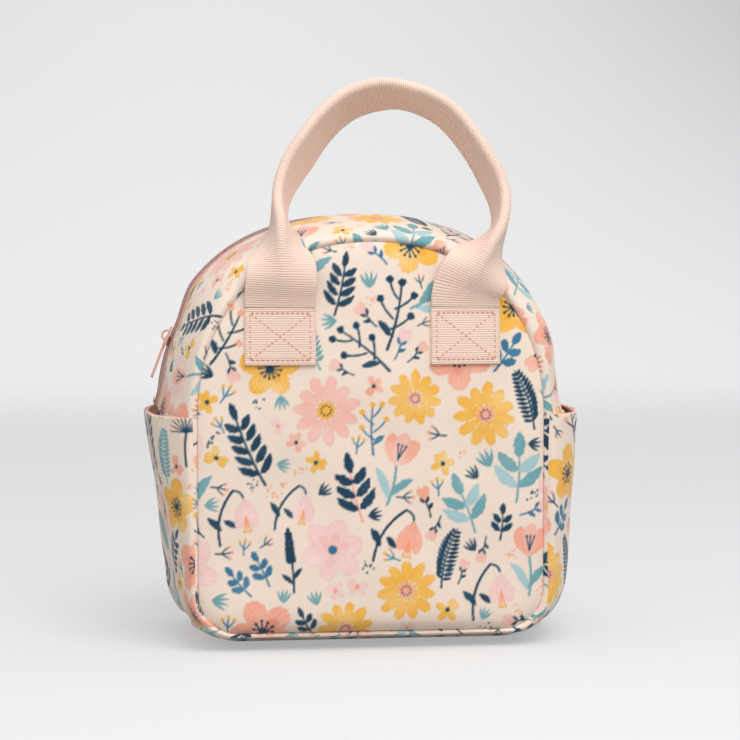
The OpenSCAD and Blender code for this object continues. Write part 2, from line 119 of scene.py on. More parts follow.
def leaf(c, p0, p1, w, bend=0.0, power=1.0, wash=0.12):
    p = bent(p0, p1, bend, 11)
    t = np.linspace(0, 1, 11)
    return dict(p=p, r=w * np.sin(np.pi * t ** power) ** 0.85, c=c, wash=wash, streak=0.25)


def petal(c, p0, p1, w, bend=0.0, wash=0.35):
    p = bent(p0, p1, bend, 11)
    t = np.linspace(0, 1, 11)
    r = w * (0.16 + 0.84 * np.sin(np.pi * 0.5 * np.minimum(t / 0.72, 1)) ** 1.3)
    r = r * np.sqrt(np.clip(1 - (np.clip(t - 0.72, 0, 1) / 0.34) ** 2, 0, 1))
    return dict(p=p, r=r, c=c, wash=wash, streak=0.7)


def dot(c, p, r, wash=0.05):
    return dict(p=np.array([p], float), r=np.array([r], float), c=c, wash=wash, streak=0.0)


def polar(r, a):
    return np.array([r * math.cos(a), r * math.sin(a)])


def blossom(petals, long, wide, colour, heart, ring):
    """A flower seen from above."""
    turn = rng.uniform(0, 6)
    deep = tuple(0.55 * np.array(colour) + 0.45 * np.array(DEEP[colour]))
    for i in range(petals):
        a = turn + 2 * math.pi * i / petals
        reach = long * rng.uniform(0.9, 1.08)
        lean = rng.uniform(-0.1, 0.1)
        yield petal(colour, polar(1.2, a), polar(reach, a), wide * rng.uniform(0.92, 1.1), lean)
        yield petal(deep, polar(0.8, a), polar(reach * 0.6, a), wide * 0.42, lean, 0.5)
    for i in range(ring):
        a = turn + 2 * math.pi * (i + 0.5) / ring
        reach = rng.uniform(0.36, 0.5) * long
        yield line(heart, (0, 0), polar(reach, a), rng.uniform(-0.15, 0.15), 0.28)
        yield dot(heart, polar(reach, a), 0.62)
    yield dot(heart, (0, 0), long * 0.17)


def daisy(colour, heart):
    turn, n = rng.uniform(0, 6), 11
    for i in range(n):
        a = turn + 2 * math.pi * i / n
        yield petal(colour, polar(2.4, a), polar(rng.uniform(10.6, 12.4), a), 2.3, 0.0, 0.25)
    yield dot(heart, (0, 0), 3.3, 0.2)
    for i in range(9):
        yield dot(NAVY, polar(1.9, turn + 2 * math.pi * i / 9), 0.36)


def tulip(colour, inner):
    """A cup seen from the side, on its stem with two long leaves."""
    yield line(TEAL, (0, -1), (1.5, -19), 0.1, 0.55)
    yield leaf(MIST, (1, -17), (-8.5, -4.5), 1.9, -0.14)
    yield leaf(TEAL, (1, -16), (9.5, -5), 1.8, 0.16)
    for x, w, b, c in ((-5.2, 3.0, 0.2, colour), (5.2, 3.0, -0.2, colour), (0, 3.5, 0, inner)):
        yield petal(c, (0, -1), (x, 11.5 - abs(x) * 0.25), w, b)
    for x in (-1.4, 0, 1.4):
        yield line(NAVY, (0, 1.2), (x * 1.3, 7.5), 0, 0.24)
        yield dot(NAVY, (x * 1.3, 7.8), 0.5)


def bell(colour):
    """A nodding flower hanging from an arched stem."""
    yield line(NAVY, (-7, -13), (1.5, 9.5), 0.24, 0.5)
    yield line(NAVY, (1.5, 9.5), (5.5, 5.5), 0.4, 0.42)
    for x, b in ((-3.4, -0.1), (3.4, 0.1), (0, 0)):
        yield petal(colour, (5.5, 5.5), (5.5 + x, -5.5), 2.3, b)
    yield from (line(AMBER, (5.5, -2), (5.5 + x, -8.2), 0, 0.24) for x in (-1.4, 0, 1.4))
    yield from (dot(MUSTARD, (5.5 + x, -8.6), 0.55) for x in (-1.4, 0, 1.4))
    yield leaf(NAVY, (-5.5, -7), (-11, -0.5), 1.5, -0.1)
    yield leaf(NAVY, (-4, -2.5), (0.5, -6.5), 1.3, 0.1)


def sprig(colour, pairs, long, fat, blunt=1.0, stem=None, other=None):
    gap = fat * 2 + 1.6
    low = -gap * pairs * 0.5
    yield line(stem or colour, (0, low - gap), (0, -low), 0.05, 0.5, 0.35)
    for i in range(pairs):
        y = low + i * gap
        size = long * (1 - 0.3 * i / pairs)
        for s in (-1, 1):
            tone = other if other and (i + (s > 0)) % 2 else colour
            yield leaf(tone, (s * 0.3, y), (s * size * 0.84, y + size * 0.72), fat, -s * 0.14, blunt)
    yield leaf(colour, (0, -low - 1), (0.3, -low + long * 0.8), fat, 0, blunt)


def fern(colour):
    yield line(colour, (-3, -15), (3, 14), -0.12, 0.45, 0.2)
    spine = bent((-3, -15), (3, 14), -0.12, 15)
    for i in range(2, 14):
        size = 6.2 * math.sin(math.pi * (0.16 + 0.78 * i / 14)) ** 0.8
        for s in (-1, 1):
            tip = spine[i] + np.array([s * size * 0.85, size * 0.5])
            yield leaf(colour, spine[i], tip, 0.85, -s * 0.1, 1.0, 0.05)


def berries(stem, fruit):
    yield line(stem, (0, -14), (0, 11), 0.07, 0.55, 0.35)
    for y, s, reach in ((-6, -1, 6), (-2, 1, 7), (2, -1, 5.6), (6, 1, 5)):
        tip = np.array([s * reach, y + 6.5])
        yield line(stem, (0.4, y), tip, -s * 0.14, 0.4)
        yield dot(fruit, tip, 1.45)
    yield dot(fruit, (0, 12.4), 1.5)
    yield leaf(stem, (0, -9), (6, -4), 1.4, 0.1)


def seed_head(stem, spark):
    yield line(stem, (0, 1), (1.2, -14), 0.08, 0.45)
    for i in range(11):
        tip = polar(rng.uniform(7.2, 8.6), math.pi * (0.02 + 0.96 * i / 10)) + (0, 1)
        yield line(stem, (0, 1), tip, 0, 0.24)
        yield dot(spark, tip, 0.75)
    for i in range(8):
        yield dot(spark, polar(4.6, math.pi * (i + 0.5) / 8) + (0, 1), 0.42)


def lavender(colour):
    yield line(colour, (0, -15), (0, 6), 0.05, 0.45)
    for i in range(8):
        y = -1 + i * 1.75
        for s in (-1, 1):
            yield leaf(colour, (0, y), (s * (2.2 - 0.12 * i), y + 2.3), 0.95, -s * 0.1, 1.0, 0.05)
    yield leaf(colour, (0, 12), (0, 16), 0.95)
    yield leaf(colour, (0, -9), (-5, -4), 1.1, -0.1)
    yield leaf(colour, (0, -11), (5, -6), 1.1, 0.1)


def bud(colour, stem):
    yield line(stem, (0, 0), (0.8, -9), 0.1, 0.42)
    yield from (petal(colour, (0, 0), (s * 1.7, 6.8), 1.9, -s * 0.12) for s in (-1, 1))
    yield from (leaf(stem, (0, -0.8), (s * 2.4, 2.4), 0.8, -s * 0.2) for s in (-1, 1))
    yield leaf(stem, (0.5, -5), (4, -1.8), 1.0, 0.1)


def grass(colour):
    for x in (-4.4, -1.6, 1.6, 4.4):
        yield leaf(colour, (0, -5), (x, 5 - abs(x) * 0.5), 0.75, -x * 0.02)


def small_star(colour, heart):
    for i in range(5):
        yield petal(colour, (0, 0), polar(4.6, rng.uniform(0, 1) + i * 2 * math.pi / 5), 1.6)
    yield dot(heart, (0, 0), 1.0)


def twig(colour, tip):
    yield line(colour, (0, -5), (0, 3.4), 0.08, 0.36)
    for s in (-1, 1):
        yield line(colour, (0, -1.5), (s * 3, 2.2), -s * 0.1, 0.32)
        yield dot(tip, (s * 3, 2.6), 0.85)
    yield dot(tip, (0, 4), 0.9)


def sparks(colour):
    for _ in range(9):
        yield dot(colour, polar(rng.uniform(0, 4.4), rng.uniform(0, 6.3)), rng.uniform(0.35, 0.6))


# Each motif: the function that draws it, and what it is given
BIG = [
    (blossom, 5, 11.0, 5.0, CORAL, NAVY, 11), (tulip, BLUSH, CORAL), (sprig, NAVY, 5, 8.0, 1.5, 0.9),
    (blossom, 5, 10.4, 4.9, MUSTARD, NAVY, 12), (sprig, NAVY, 4, 8.6, 1.55, 0.9),
    (blossom, 6, 12.6, 5.0, BLUSH, BLUE, 0), (berries, NAVY, NAVY), (daisy, ROSE, MUSTARD),
    (sprig, TEAL, 2, 12.5, 2.5, 0.85, TEAL, MIST), (tulip, CORAL, ROSE), (fern, NAVY), (bell, CORAL),
    (seed_head, NAVY, CORAL), (daisy, MUSTARD, CORAL), (sprig, NAVY, 3, 9.5, 1.9, 0.8, CORAL),
    (bell, BLUSH), (lavender, NAVY), (blossom, 7, 10.0, 3.5, ROSE, NAVY, 9), (berries, NAVY, CORAL),
]
MIDDLE = [
    (bud, CORAL, NAVY), (sprig, BLUE, 2, 6.2, 1.7), (small_star, CORAL, NAVY), (berries, BLUE, MUSTARD),
    (bud, BLUSH, BLUE), (fern, TEAL), (small_star, MUSTARD, NAVY), (sprig, NAVY, 2, 6.4, 1.5),
]
SMALL = [
    (twig, NAVY, CORAL), (small_star, BLUSH, AMBER), (grass, NAVY), (sparks, AMBER),
    (twig, BLUE, MUSTARD), (sparks, NAVY), (bud, ROSE, NAVY), (grass, TEAL),
]


def scatter():
    """Places motifs so that none touches another, the large ones first."""
    taken = np.zeros((CELLS, CELLS), bool)
    placed = []
    ring = np.array([polar(1, i * math.pi / 4) for i in range(8)])
    for kinds, tries, clear, least, most, tilt in ((BIG, 9000, 6, 1.1, 1.42, 0.4),
                                                   (MIDDLE, 14000, 4, 1.0, 1.3, 0.7),
                                                   (SMALL, 24000, 2, 0.8, 1.15, 1.6)):
        count = 0
        for _ in range(tries):
            a, size = rng.normal(0, tilt), rng.uniform(least, most)
            at, flip = rng.uniform(0, TILE, 2), rng.choice((-1, 1))
            near = (at + ring * clear).astype(int) % CELLS
            if taken[near[:, 1], near[:, 0]].any():
                continue
            draw, *given = kinds[count % len(kinds)]
            strokes = draw(*given)
            m = size * np.array([[math.cos(a), math.sin(a)], [-math.sin(a), math.cos(a)]])
            moved = [dict(s, p=(s["p"] * (flip, 1)) @ m + at, r=s["r"] * size) for s in strokes]
            p = np.concatenate([s["p"] for s in moved])
            r = np.concatenate([s["r"] for s in moved]) + MARGIN
            spots = np.concatenate([p] + [p + r[:, None] * d for d in ring]).astype(int) % CELLS
            if taken[spots[:, 1], spots[:, 0]].any():
                continue
            for q, rad in zip(p, r):
                n = int(rad + 1.5)
                ix, iy = np.meshgrid(*(np.arange(int(c) - n, int(c) + n + 1) for c in q))
                inside = (ix - q[0]) ** 2 + (iy - q[1]) ** 2 < (rad + MARGIN) ** 2
                taken[iy[inside] % CELLS, ix[inside] % CELLS] = True
            placed += moved
            count += 1
    return placed


def paint_cloth():
    """The cloth's colours in sRGB, a grid of N by N points."""
    wash, fine = soft_noise(9, 1), soft_noise(1.1, 2)
    rgb = np.empty((N, N, 3))
    rgb[:] = CREAM
    rgb *= (1 + 0.012 * (wash - 0.5) + 0.012 * (fine - 0.5))[:, :, None]
    for s in scatter():
        p, r = s["p"], s["r"]
        lo = np.floor((p.min(0) - r.max() - 1) * RES).astype(int)
        hi = np.ceil((p.max(0) + r.max() + 1) * RES).astype(int)
        jx, jy = np.arange(lo[0], hi[0]), np.arange(lo[1], hi[1])
        x, y = (jx[None, :] + 0.5) / RES, (jy[:, None] + 0.5) / RES
        ix, iy = np.ix_(jy % N, jx % N)
        edge = (fine[ix, iy] - 0.5) * min(0.9, r.max() * 0.35)
        best = np.full((len(jy), len(jx)), 1e9)
        across = np.zeros_like(best)
        if len(p) == 1:
            best = np.hypot(x - p[0, 0], y - p[0, 1]) - r[0]
        for a, b, ra, rb in zip(p[:-1], p[1:], r[:-1], r[1:]):
            d = b - a
            t = np.clip(((x - a[0]) * d[0] + (y - a[1]) * d[1]) / max(d @ d, 1e-9), 0, 1)
            far = np.hypot(x - a[0] - t * d[0], y - a[1] - t * d[1]) - (ra + (rb - ra) * t)
            nearer = far < best
            side = ((y - a[1]) * d[0] - (x - a[0]) * d[1]) / max(math.hypot(*d), 1e-9)
            across = np.where(nearer, side / max(0.4, r.max()), across)
            best = np.where(nearer, far, best)
        cover = np.clip(0.5 - (best + edge) * RES * 0.8, 0, 1)
        colour = np.array(s["c"])
        w = wash[ix, iy]
        pale = s["wash"] * np.clip(1.5 * (w - 0.35), 0, 1)
        if r.max() > 1.2:
            pale = pale + s["streak"] * 0.22 * (0.5 + 0.5 * np.sin(across * 15 + 5 * w)) ** 3
        rim = np.exp(-np.clip(-best, 0, None) / 0.6) * 0.05 * (s["wash"] > 0)
        colour = colour + (np.array(PALE) - colour) * pale[:, :, None]
        colour = colour * (1 - rim)[:, :, None]
        rgb[ix, iy] += (colour - rgb[ix, iy]) * cover[:, :, None]
    f = np.fft.fftfreq(N)
    blur = np.exp(-(f[:, None] ** 2 + f[None, :] ** 2) * 2 * (math.pi * 0.75) ** 2)[:, :, None]
    return np.clip(np.fft.ifft2(np.fft.fft2(rgb, axes=(0, 1)) * blur, axes=(0, 1)).real, 0, 1)


CLOTH = paint_cloth()


def print_at(uv):
    """The cloth's colour at places in millimetres on it, linear."""
    q = np.asarray(uv) * RES - 0.5
    i = np.floor(q).astype(int)
    f = q - i
    out = 0
    for dx in (0, 1):
        for dy in (0, 1):
            w = (f[..., 0] if dx else 1 - f[..., 0]) * (f[..., 1] if dy else 1 - f[..., 1])
            out = out + CLOTH[(i[..., 1] + dy) % N, (i[..., 0] + dx) % N] * w[..., None]
    return linear(out)


# ---- curves and forms
def cubic(a, b, c, d, t):
    """A smooth curve from b to c as t goes from 0 to 1, where a and d are the points beyond them."""
    return 0.5 * (2 * b + (c - a) * t + (2 * a - 5 * b + 4 * c - d) * t ** 2
                  + (3 * b - a - 3 * c + d) * t ** 3)


def spline(points, n=400):
    """A smooth curve through points, sampled evenly along its length."""
    p = np.array(points, float)
    q = np.vstack([2 * p[0] - p[1], p, 2 * p[-1] - p[-2]])
    out = []
    for i in range(1, len(q) - 2):
        t = np.linspace(0, 1, 24, endpoint=i == len(q) - 3)[:, None]
        out.append(cubic(*q[i - 1:i + 3], t))
    return even(np.vstack(out), n)


def distances(p):
    """How far along p each of its points is."""
    return np.concatenate([[0], np.cumsum(np.linalg.norm(np.diff(p, axis=0), axis=1))])


def even(p, n):
    """The line p as n points at even distances."""
    s = distances(p)
    t = np.linspace(0, s[-1], n)
    return np.stack([np.interp(t, s, p[:, k]) for k in range(p.shape[1])], 1)


def length(p):
    return float(np.linalg.norm(np.diff(p, axis=0), axis=1).sum())


def circle(n):
    """n angles evenly round a circle."""
    return np.linspace(0, 2 * math.pi, n, endpoint=False)


def grid(u, v):
    """Two arrays that hold every pair of a number of u and one of v."""
    return np.meshgrid(u, v, indexing="ij")


def flat_cloth(long, nu, wide, nv):
    """A grid of places on flat cloth."""
    return np.stack(grid(np.linspace(0, long, nu), np.linspace(0, wide, nv)), -1)


def softened(v, kernel):
    """The row of numbers v, evened out with the weights in kernel."""
    return np.convolve(np.pad(v, len(kernel) // 2, mode="edge"), kernel, "valid")


def unit(v):
    return v / np.linalg.norm(v, axis=-1, keepdims=True)


def steps(size, step=STEP, k=COARSE):
    """How many points go along size at most step apart, a multiple of k and one more."""
    return int(math.ceil(size / step / k)) * k + 1


wave = np.random.default_rng(3)
WAVES = [(wave.normal(0, 1, 3), wave.uniform(0, 6.3), wave.uniform(34, 95)) for _ in range(14)]


def ripple(p, seed=0.0):
    """Soft unevenness of cloth over foam, about -1 to 1."""
    out = 0
    for d, phase, size in WAVES:
        d = d / np.linalg.norm(d)
        out = out + np.sin((p @ d) * 2 * math.pi / size + phase + seed)
    return out / 3.2


def outward(p):
    """The normals of the grid p, facing away from the middle of the bag."""
    n = np.cross(np.gradient(p, axis=0), np.gradient(p, axis=1))
    n = n / np.maximum(np.linalg.norm(n, axis=2, keepdims=True), 1e-9)
    return -n if np.einsum("ijk,ijk->", n, p - (0, 0, ARCH_Z * 0.8)) < 0 else n


def uneven(p, n, seed, amount, edge):
    """The grid p with soft ripples of about amount along n, which fade out at its two long edges."""
    t = np.linspace(0, 1, p.shape[1])[None, :, None]
    return p + n * ripple(p, seed)[..., None] * amount * np.minimum(1, np.minimum(t, 1 - t) * edge)


def path(w, side):
    """Points on the seam and on the widest outline, from the pocket's mouth (0) round the lower
    corner (1 to 2) to the middle of the base (3), on the right (1) or left (-1) side."""
    w = np.asarray(w, float)
    down = np.clip(w, 0, 1)
    turn = np.clip(w - 1, 0, 1) * math.pi / 2
    flat = np.clip(w - 2, 0, 1)

    def at(x, low, r):
        mid = x - r
        z = np.where(w < 1, ARCH_Z + (low + r - ARCH_Z) * down, low + r - r * np.sin(turn))
        px = np.where(w < 1, x, mid + r * np.cos(turn)) - flat * mid
        return np.stack([side * px, z], -1)
    full = SIDE_FULL * np.clip(1 - w * 0.8, 0, 1) ** 1.5
    if side < 0:  # low down, the left side is flatter than the right one
        full = full - 4.5 * np.clip(w / 0.9, 0, 1) ** 1.5 * np.clip((3 - w) / 1.2, 0, 1)
    outer = at(ARCH_R, 0.0, OUTER_CORNER_R)
    outer[..., 0] += side * full
    return at(PANEL_R, SEAM_Z, CORNER_R), outer


def hump(x, start, full, fade, end):
    """0 outside start..end, 1 inside full..fade, and smooth between."""
    rise = np.clip((x - start) / (full - start), 0, 1)
    fall = np.clip((end - x) / (end - fade), 0, 1)
    return rise * rise * (3 - 2 * rise) * fall * fall * (3 - 2 * fall)


def shoulder(a):
    """How much fuller than a circle the stuffed gusset stands, round the arch.
    It is less full where the slider parks, so that its ring stays near the pull's hinge."""
    full = SIDE_FULL * np.cos(a) ** 2 + SHOULDER_FULL * np.sin(2 * a) ** 2
    right = np.degrees(a)
    held = hump(right, 0, 5, 11, 22) + hump(180 - right, 0, 6, 24, 38)
    return full + held * (PARKED_FULL - full)


def zip_r(a):
    """Radius of the zip's middle, which stands on a ridge except over the top."""
    return ARCH_R + 0.4 + shoulder(a) - 2.0 * np.sin(a) ** 8


def seam_r(a):
    return PANEL_R + SEAM_FULL * np.sin(2 * a) ** 2


def arch(a):
    """The seam and the widest outline round the arch."""
    c = np.stack([np.cos(a), np.sin(a)], -1)
    return c * seam_r(a)[:, None] + (0, ARCH_Z), c * (ARCH_R + shoulder(a))[:, None] + (0, ARCH_Z)


# Sections across the gussets, sides and pockets, as (how far out from the seam, y)
FRONT_EDGE = [(0, -59.0), (1.0, -60.3), (2.6, -60.9), (4.7, -59.9), (7.1, -55.5), (9.8, -47.5),
              (12.2, -36.5), (13.9, -23), (14.9, -10), (15.1, ZIP_Y - ZIP_SLOT)]
BACK_EDGE = [(0, 59.0), (1.0, 60.3), (2.4, 60.6), (4.2, 59.4), (6.0, 55.5), (8.8, 47.5),
             (11.4, 38), (13.6, 27), (14.7, 20), (15.1, ZIP_Y + ZIP_SLOT)]
WHOLE_EDGE = FRONT_EDGE[:-1] + [(15.4, 0), (15.5, 8)] + BACK_EDGE[:-1][::-1]
POCKET_HALF = [(0.4, -59.3), (2.0, -61.2), (4.6, -61.3), (8.2, -57.6), (12.6, -50), (17.2, -39),
               (20.0, -26), (21.9, -12)]
POCKET_EDGE = POCKET_HALF + [(22.6, 0)] + [(o, -y) for o, y in POCKET_HALF[::-1]]


def lofted(inner, outer, edge, n, shape=None, late=1.0):
    """Points of a strip whose section edge = (out, y) runs along the outlines inner and outer.
    Where these are more than BULGE apart, the rest swells nearer the strip's widest part, the larger
    late is."""
    e = spline(edge, n)
    d = outer - inner
    size = np.linalg.norm(d, axis=1, keepdims=True)
    out = e[None, :, 0].repeat(len(inner), 0)
    y = e[None, :, 1].repeat(len(inner), 0)
    if shape is not None:
        out, y = shape(out, y)
    share = out / BULGE
    reach = share * np.minimum(size, BULGE) + np.clip(share, 0, None) ** late * np.clip(size - BULGE, 0, None)
    xz = inner[:, None, :] + reach[..., None] * (d / size)[:, None, :]
    return np.stack([xz[..., 0], y, xz[..., 1]], -1)


def seam_distance(x, z):
    """How far inside the panel's outline a point is, or 0 outside it."""
    q = np.stack([np.abs(x) - (PANEL_R - CORNER_R), SEAM_Z + CORNER_R - z], -1)
    box = CORNER_R - np.hypot(*np.moveaxis(np.clip(q, 0, None), -1, 0)) - np.clip(q.max(-1), None, 0)
    turn = np.arctan2(np.clip(z - ARCH_Z, 0, None), x)
    return np.maximum(np.where(z > ARCH_Z, seam_r(turn) - np.hypot(x, z - ARCH_Z), box), 0)


def crown_y(x, z):
    """The flat front panel's y, slightly domed."""
    high = np.clip(z - ARCH_Z, 0, None)
    return CROWN_Y - np.sqrt(CROWN_RAD ** 2 - x ** 2 - high ** 2)


def panel_y(x, z, seed=0.0):
    """The padded front panel's y: drawn in at the seam, and rippled except by the handle's tabs."""
    d = seam_distance(x, z)
    y = -EDGE_Y + (crown_y(x, z) + EDGE_Y) * (1 - np.exp(-d / 4.2))
    y = y - 0.9 * (d / 6) * np.exp(1 - d / 6)
    p = np.stack([x, 0 * x, z], -1)
    calm = np.exp(-(np.clip(np.hypot(np.abs(x) - TAB_X, z - 168) - 16, 0, None) / 14) ** 2)
    return y - 0.75 * ripple(p, seed) * (1 - np.exp(-d / 12)) * (1 - 0.9 * calm)


# ---- materials
def feed(t, socket, v):
    """Sets an input to a number or a colour, or links it to what another node gives."""
    if isinstance(v, (int, float)):
        socket.default_value = v
    elif isinstance(v, (tuple, np.ndarray)):
        socket.default_value = (*v[:3], 1)
    elif v is not None:
        t.links.new(v, socket)


def node(t, kind, **inputs):
    n = t.nodes.new("ShaderNode" + kind)
    for label, v in inputs.items():
        feed(t, n.inputs[label], v)
    return n


def material(name, roughness, sheen=0.0, specular=0.5, coat=0.0):
    m = bpy.data.materials.new(name)
    m.use_nodes = True
    t = m.node_tree
    b = t.nodes["Principled BSDF"]
    for label, v in (("Roughness", roughness), ("Specular IOR Level", specular), ("Sheen Weight", sheen),
                     ("Sheen Roughness", 0.45), ("Coat Weight", coat)):
        feed(t, b.inputs[label], v)
    return m, t, b


def calc(t, how, *values):
    n = node(t, "Math")
    n.operation = how
    for i, v in enumerate(values):
        feed(t, n.inputs[i], v)
    return n.outputs[0]


def times(t, a, b):
    return calc(t, "MULTIPLY", a, b)


def scaled(t, x, by, plus):
    return calc(t, "MULTIPLY_ADD", x, by, plus)


def mix(t, factor, a, b, how="MIX"):
    n = node(t, "Mix")
    n.data_type, n.blend_type = "RGBA", how
    for i, v in ((0, factor), (6, a), (7, b)):
        feed(t, n.inputs[i], v)
    return n.outputs[2]


def bump(t, b, height, strength, distance):
    n = node(t, "Bump", Strength=strength, Distance=distance, Height=height)
    feed(t, b.inputs["Normal"], n.outputs[0])


def flat_coordinates(t):
    """The place on flat cloth, then how far across and along it, in millimetres."""
    uv = node(t, "UVMap")
    uv.uv_map = "cloth"
    return uv.outputs[0], *node(t, "SeparateXYZ", Vector=uv.outputs[0]).outputs[:2]


def object_vector(t):
    return node(t, "TexCoord").outputs["Object"]


def noise(t, vector, scale, detail=3.0, rough=0.55):
    return node(t, "TexNoise", Scale=scale, Detail=detail, Roughness=rough, Vector=vector).outputs[0]


def waves(t, x, pitch):
    """A wave along x that repeats every pitch."""
    return calc(t, "SINE", times(t, x, 2 * math.pi / pitch))


def shaded(t, b, colour, shade):
    """The base colour is colour times the grey value shade."""
    rgb = node(t, "CombineColor", Red=shade, Green=shade, Blue=shade)
    feed(t, b.inputs["Base Color"], mix(t, 1.0, colour, rgb.outputs[0], "MULTIPLY"))


def printed_cloth():
    m, t, b = material("printed_cloth", 0.78, 0.22, 0.35)
    colour = node(t, "Attribute")
    colour.attribute_name = "print"
    uv, u, v = flat_coordinates(t)
    weave = times(t, waves(t, u, 0.62), waves(t, v, 0.62))
    grain = noise(t, uv, 1.6, 4.0)
    large = noise(t, object_vector(t), 22.0, 2.0)
    shade = calc(t, "ADD", scaled(t, grain, 0.10, 0.95), times(t, weave, 0.016))
    shaded(t, b, colour.outputs["Color"], times(t, shade, scaled(t, large, 0.06, 0.97)))
    bump(t, b, calc(t, "ADD", times(t, weave, 0.35), times(t, grain, 1.2)), 0.5, 0.00012)
    feed(t, b.inputs["Roughness"], scaled(t, grain, 0.16, 0.70))
    return m


def lining_cloth():
    m, t, b = material("lining", 0.42)
    crinkle = noise(t, object_vector(t), 90.0, 5.0, 0.6)
    tone = mix(t, crinkle, linear((0.72, 0.74, 0.75)), linear((0.86, 0.87, 0.88)))
    feed(t, b.inputs["Base Color"], tone)
    bump(t, b, crinkle, 0.6, 0.0006)
    return m


def woven_tape(name, tone, groove_shade, rib, column, strength=0.8):
    """Ribbed webbing or tape: ribs across it, and yarns along it, with painted shade in the grooves between
    them.
    """
    m, t, b = material(name, 0.72, 0.25, 0.3)
    _, u, v = flat_coordinates(t)
    row = calc(t, "FLOOR", calc(t, "DIVIDE", v, rib))
    odd = times(t, calc(t, "MODULO", row, 2.0), column / 2)
    ridges = calc(t, "ABSOLUTE", waves(t, v, 2 * rib))
    yarns = calc(t, "ABSOLUTE", waves(t, calc(t, "ADD", u, odd), 2 * column))
    height = times(t, calc(t, "POWER", ridges, 0.6), scaled(t, calc(t, "POWER", yarns, 0.5), 0.5, 0.5))
    fuzz = noise(t, object_vector(t), 900.0)
    large = noise(t, object_vector(t), 40.0, 2.0)
    depth = times(t, height, scaled(t, fuzz, 0.3, 0.85))
    # painted shade: where the ribs and yarns dip, the colour is mixed towards the darker groove colour
    shaded(t, b, mix(t, depth, linear(groove_shade), linear(tone)), scaled(t, large, 0.10, 0.95))
    bump(t, b, depth, strength, 0.0003)
    return m


def plain(name, tone, roughness, scale, sheen=0.0, lift=0.0001, coat=0.0):
    """A moulded, painted or spun surface with fine unevenness."""
    m, t, b = material(name, roughness, sheen, coat=coat)
    grain = noise(t, object_vector(t), scale, 4.0)
    tone, amount = np.array(tone), 0.12
    dark, light = tone * (1 - amount), np.clip(tone * (1 + amount * 0.5), 0, 1)
    feed(t, b.inputs["Base Color"], mix(t, grain, linear(dark), linear(light)))
    bump(t, b, grain, 0.4, lift)
    feed(t, b.inputs["Roughness"], scaled(t, grain, 0.15, roughness - 0.07))
    return m


CLOTH_MAT = printed_cloth()
LINING_MAT = lining_cloth()
# the second colour of each tape is painted shade for its grooves
WEB_MAT = woven_tape("webbing", (0.988, 0.898, 0.835), (0.897, 0.712, 0.625), WEB_RIB, 1.1)
TAPE_MAT = woven_tape("zip_tape", (0.925, 0.730, 0.660), (0.820, 0.600, 0.530), 0.7, 0.7, 0.5)
COIL_MAT = plain("coil", (0.760, 0.545, 0.480), 0.42, 500.0)
METAL_MAT = plain("painted_metal", (0.925, 0.705, 0.625), 0.30, 260.0, coat=0.3, lift=0.00004)
THREAD_MAT = plain("thread", (0.900, 0.700, 0.615), 0.75, 2500.0, sheen=0.2)
PIPING_MAT = plain("piping", (0.900, 0.640, 0.545), 0.75, 700.0, sheen=0.2)
BOARD_MAT = plain("board", (0.80, 0.76, 0.70), 0.9, 300.0)


# ---- meshes
def added(name, data):
    """A new object of the scene, which shows data."""
    obj = bpy.data.objects.new(name, data)
    SCENE.collection.objects.link(obj)
    return obj


def make(name, verts, groups, colour=None, cloth=None, mats=()):
    """A mesh object from vertices in millimetres and groups of faces (array, material, smooth)."""
    verts = np.asarray(verts, float)
    loops = np.concatenate([f.ravel() for f, _, _ in groups])
    total = np.concatenate([np.full(len(f), f.shape[1]) for f, _, _ in groups])
    start = np.concatenate([[0], np.cumsum(total)[:-1]])
    index = np.concatenate([np.full(len(f), k) for f, k, _ in groups])
    soft = np.concatenate([np.full(len(f), s) for f, _, s in groups])
    volume = 0.0
    for f, _, _ in groups:
        for j in range(1, f.shape[1] - 1):
            a, b, c = verts[f[:, 0]], verts[f[:, j]], verts[f[:, j + 1]]
            volume += np.einsum("ij,ij->", a, np.cross(b, c))
    if volume < 0:  # the faces look inwards, so each is turned round
        loops = loops[np.repeat(2 * start + total - 1, total) - np.arange(len(loops))]
    mesh = bpy.data.meshes.new(name)
    mesh.vertices.add(len(verts))
    mesh.vertices.foreach_set("co", (verts * MM).astype(np.float32).ravel())
    mesh.loops.add(len(loops))
    mesh.loops.foreach_set("vertex_index", loops.astype(np.int32))
    mesh.polygons.add(len(total))
    for label, values, kind in (("loop_start", start, np.int32), ("loop_total", total, np.int32),
                                ("material_index", index, np.int32), ("use_smooth", soft, bool)):
        mesh.polygons.foreach_set(label, values.astype(kind))
    mesh.update(calc_edges=True)
    if cloth is not None:
        layer = mesh.uv_layers.new(name="cloth")
        layer.data.foreach_set("uv", cloth[loops].astype(np.float32).ravel())
    if colour is not None:
        a = mesh.attributes.new("print", "FLOAT_COLOR", "POINT")
        rgba = np.column_stack([colour, np.ones(len(colour))])
        a.data.foreach_set("color", rgba.astype(np.float32).ravel())
    for m in mats:
        mesh.materials.append(m)
    return added(name, mesh)


def quads(nu, nv, base=0):
    """The faces of a grid of nu by nv points."""
    i = np.arange(nu * nv).reshape(nu, nv) + base
    return np.stack([i[:-1, :-1], i[1:, :-1], i[1:, 1:], i[:-1, 1:]], -1).reshape(-1, 4)


def edge_loop(nu, nv, base=0):
    """The points round a grid's edge, and the first of them again."""
    i = np.arange(nu * nv).reshape(nu, nv) + base
    return np.concatenate([i[:-1, 0], i[-1, :-1], i[:0:-1, -1], i[0, ::-1]])


def wrapped(rows, sides, base=0):
    """The faces round a row of rings with sides points each, and the caps of its two ends."""
    i = np.arange(rows * sides).reshape(rows, sides) + base
    j = np.roll(i, -1, axis=1)
    return np.stack([i[:-1], i[1:], j[1:], j[:-1]], -1).reshape(-1, 4), np.stack([i[0], i[-1][::-1]])


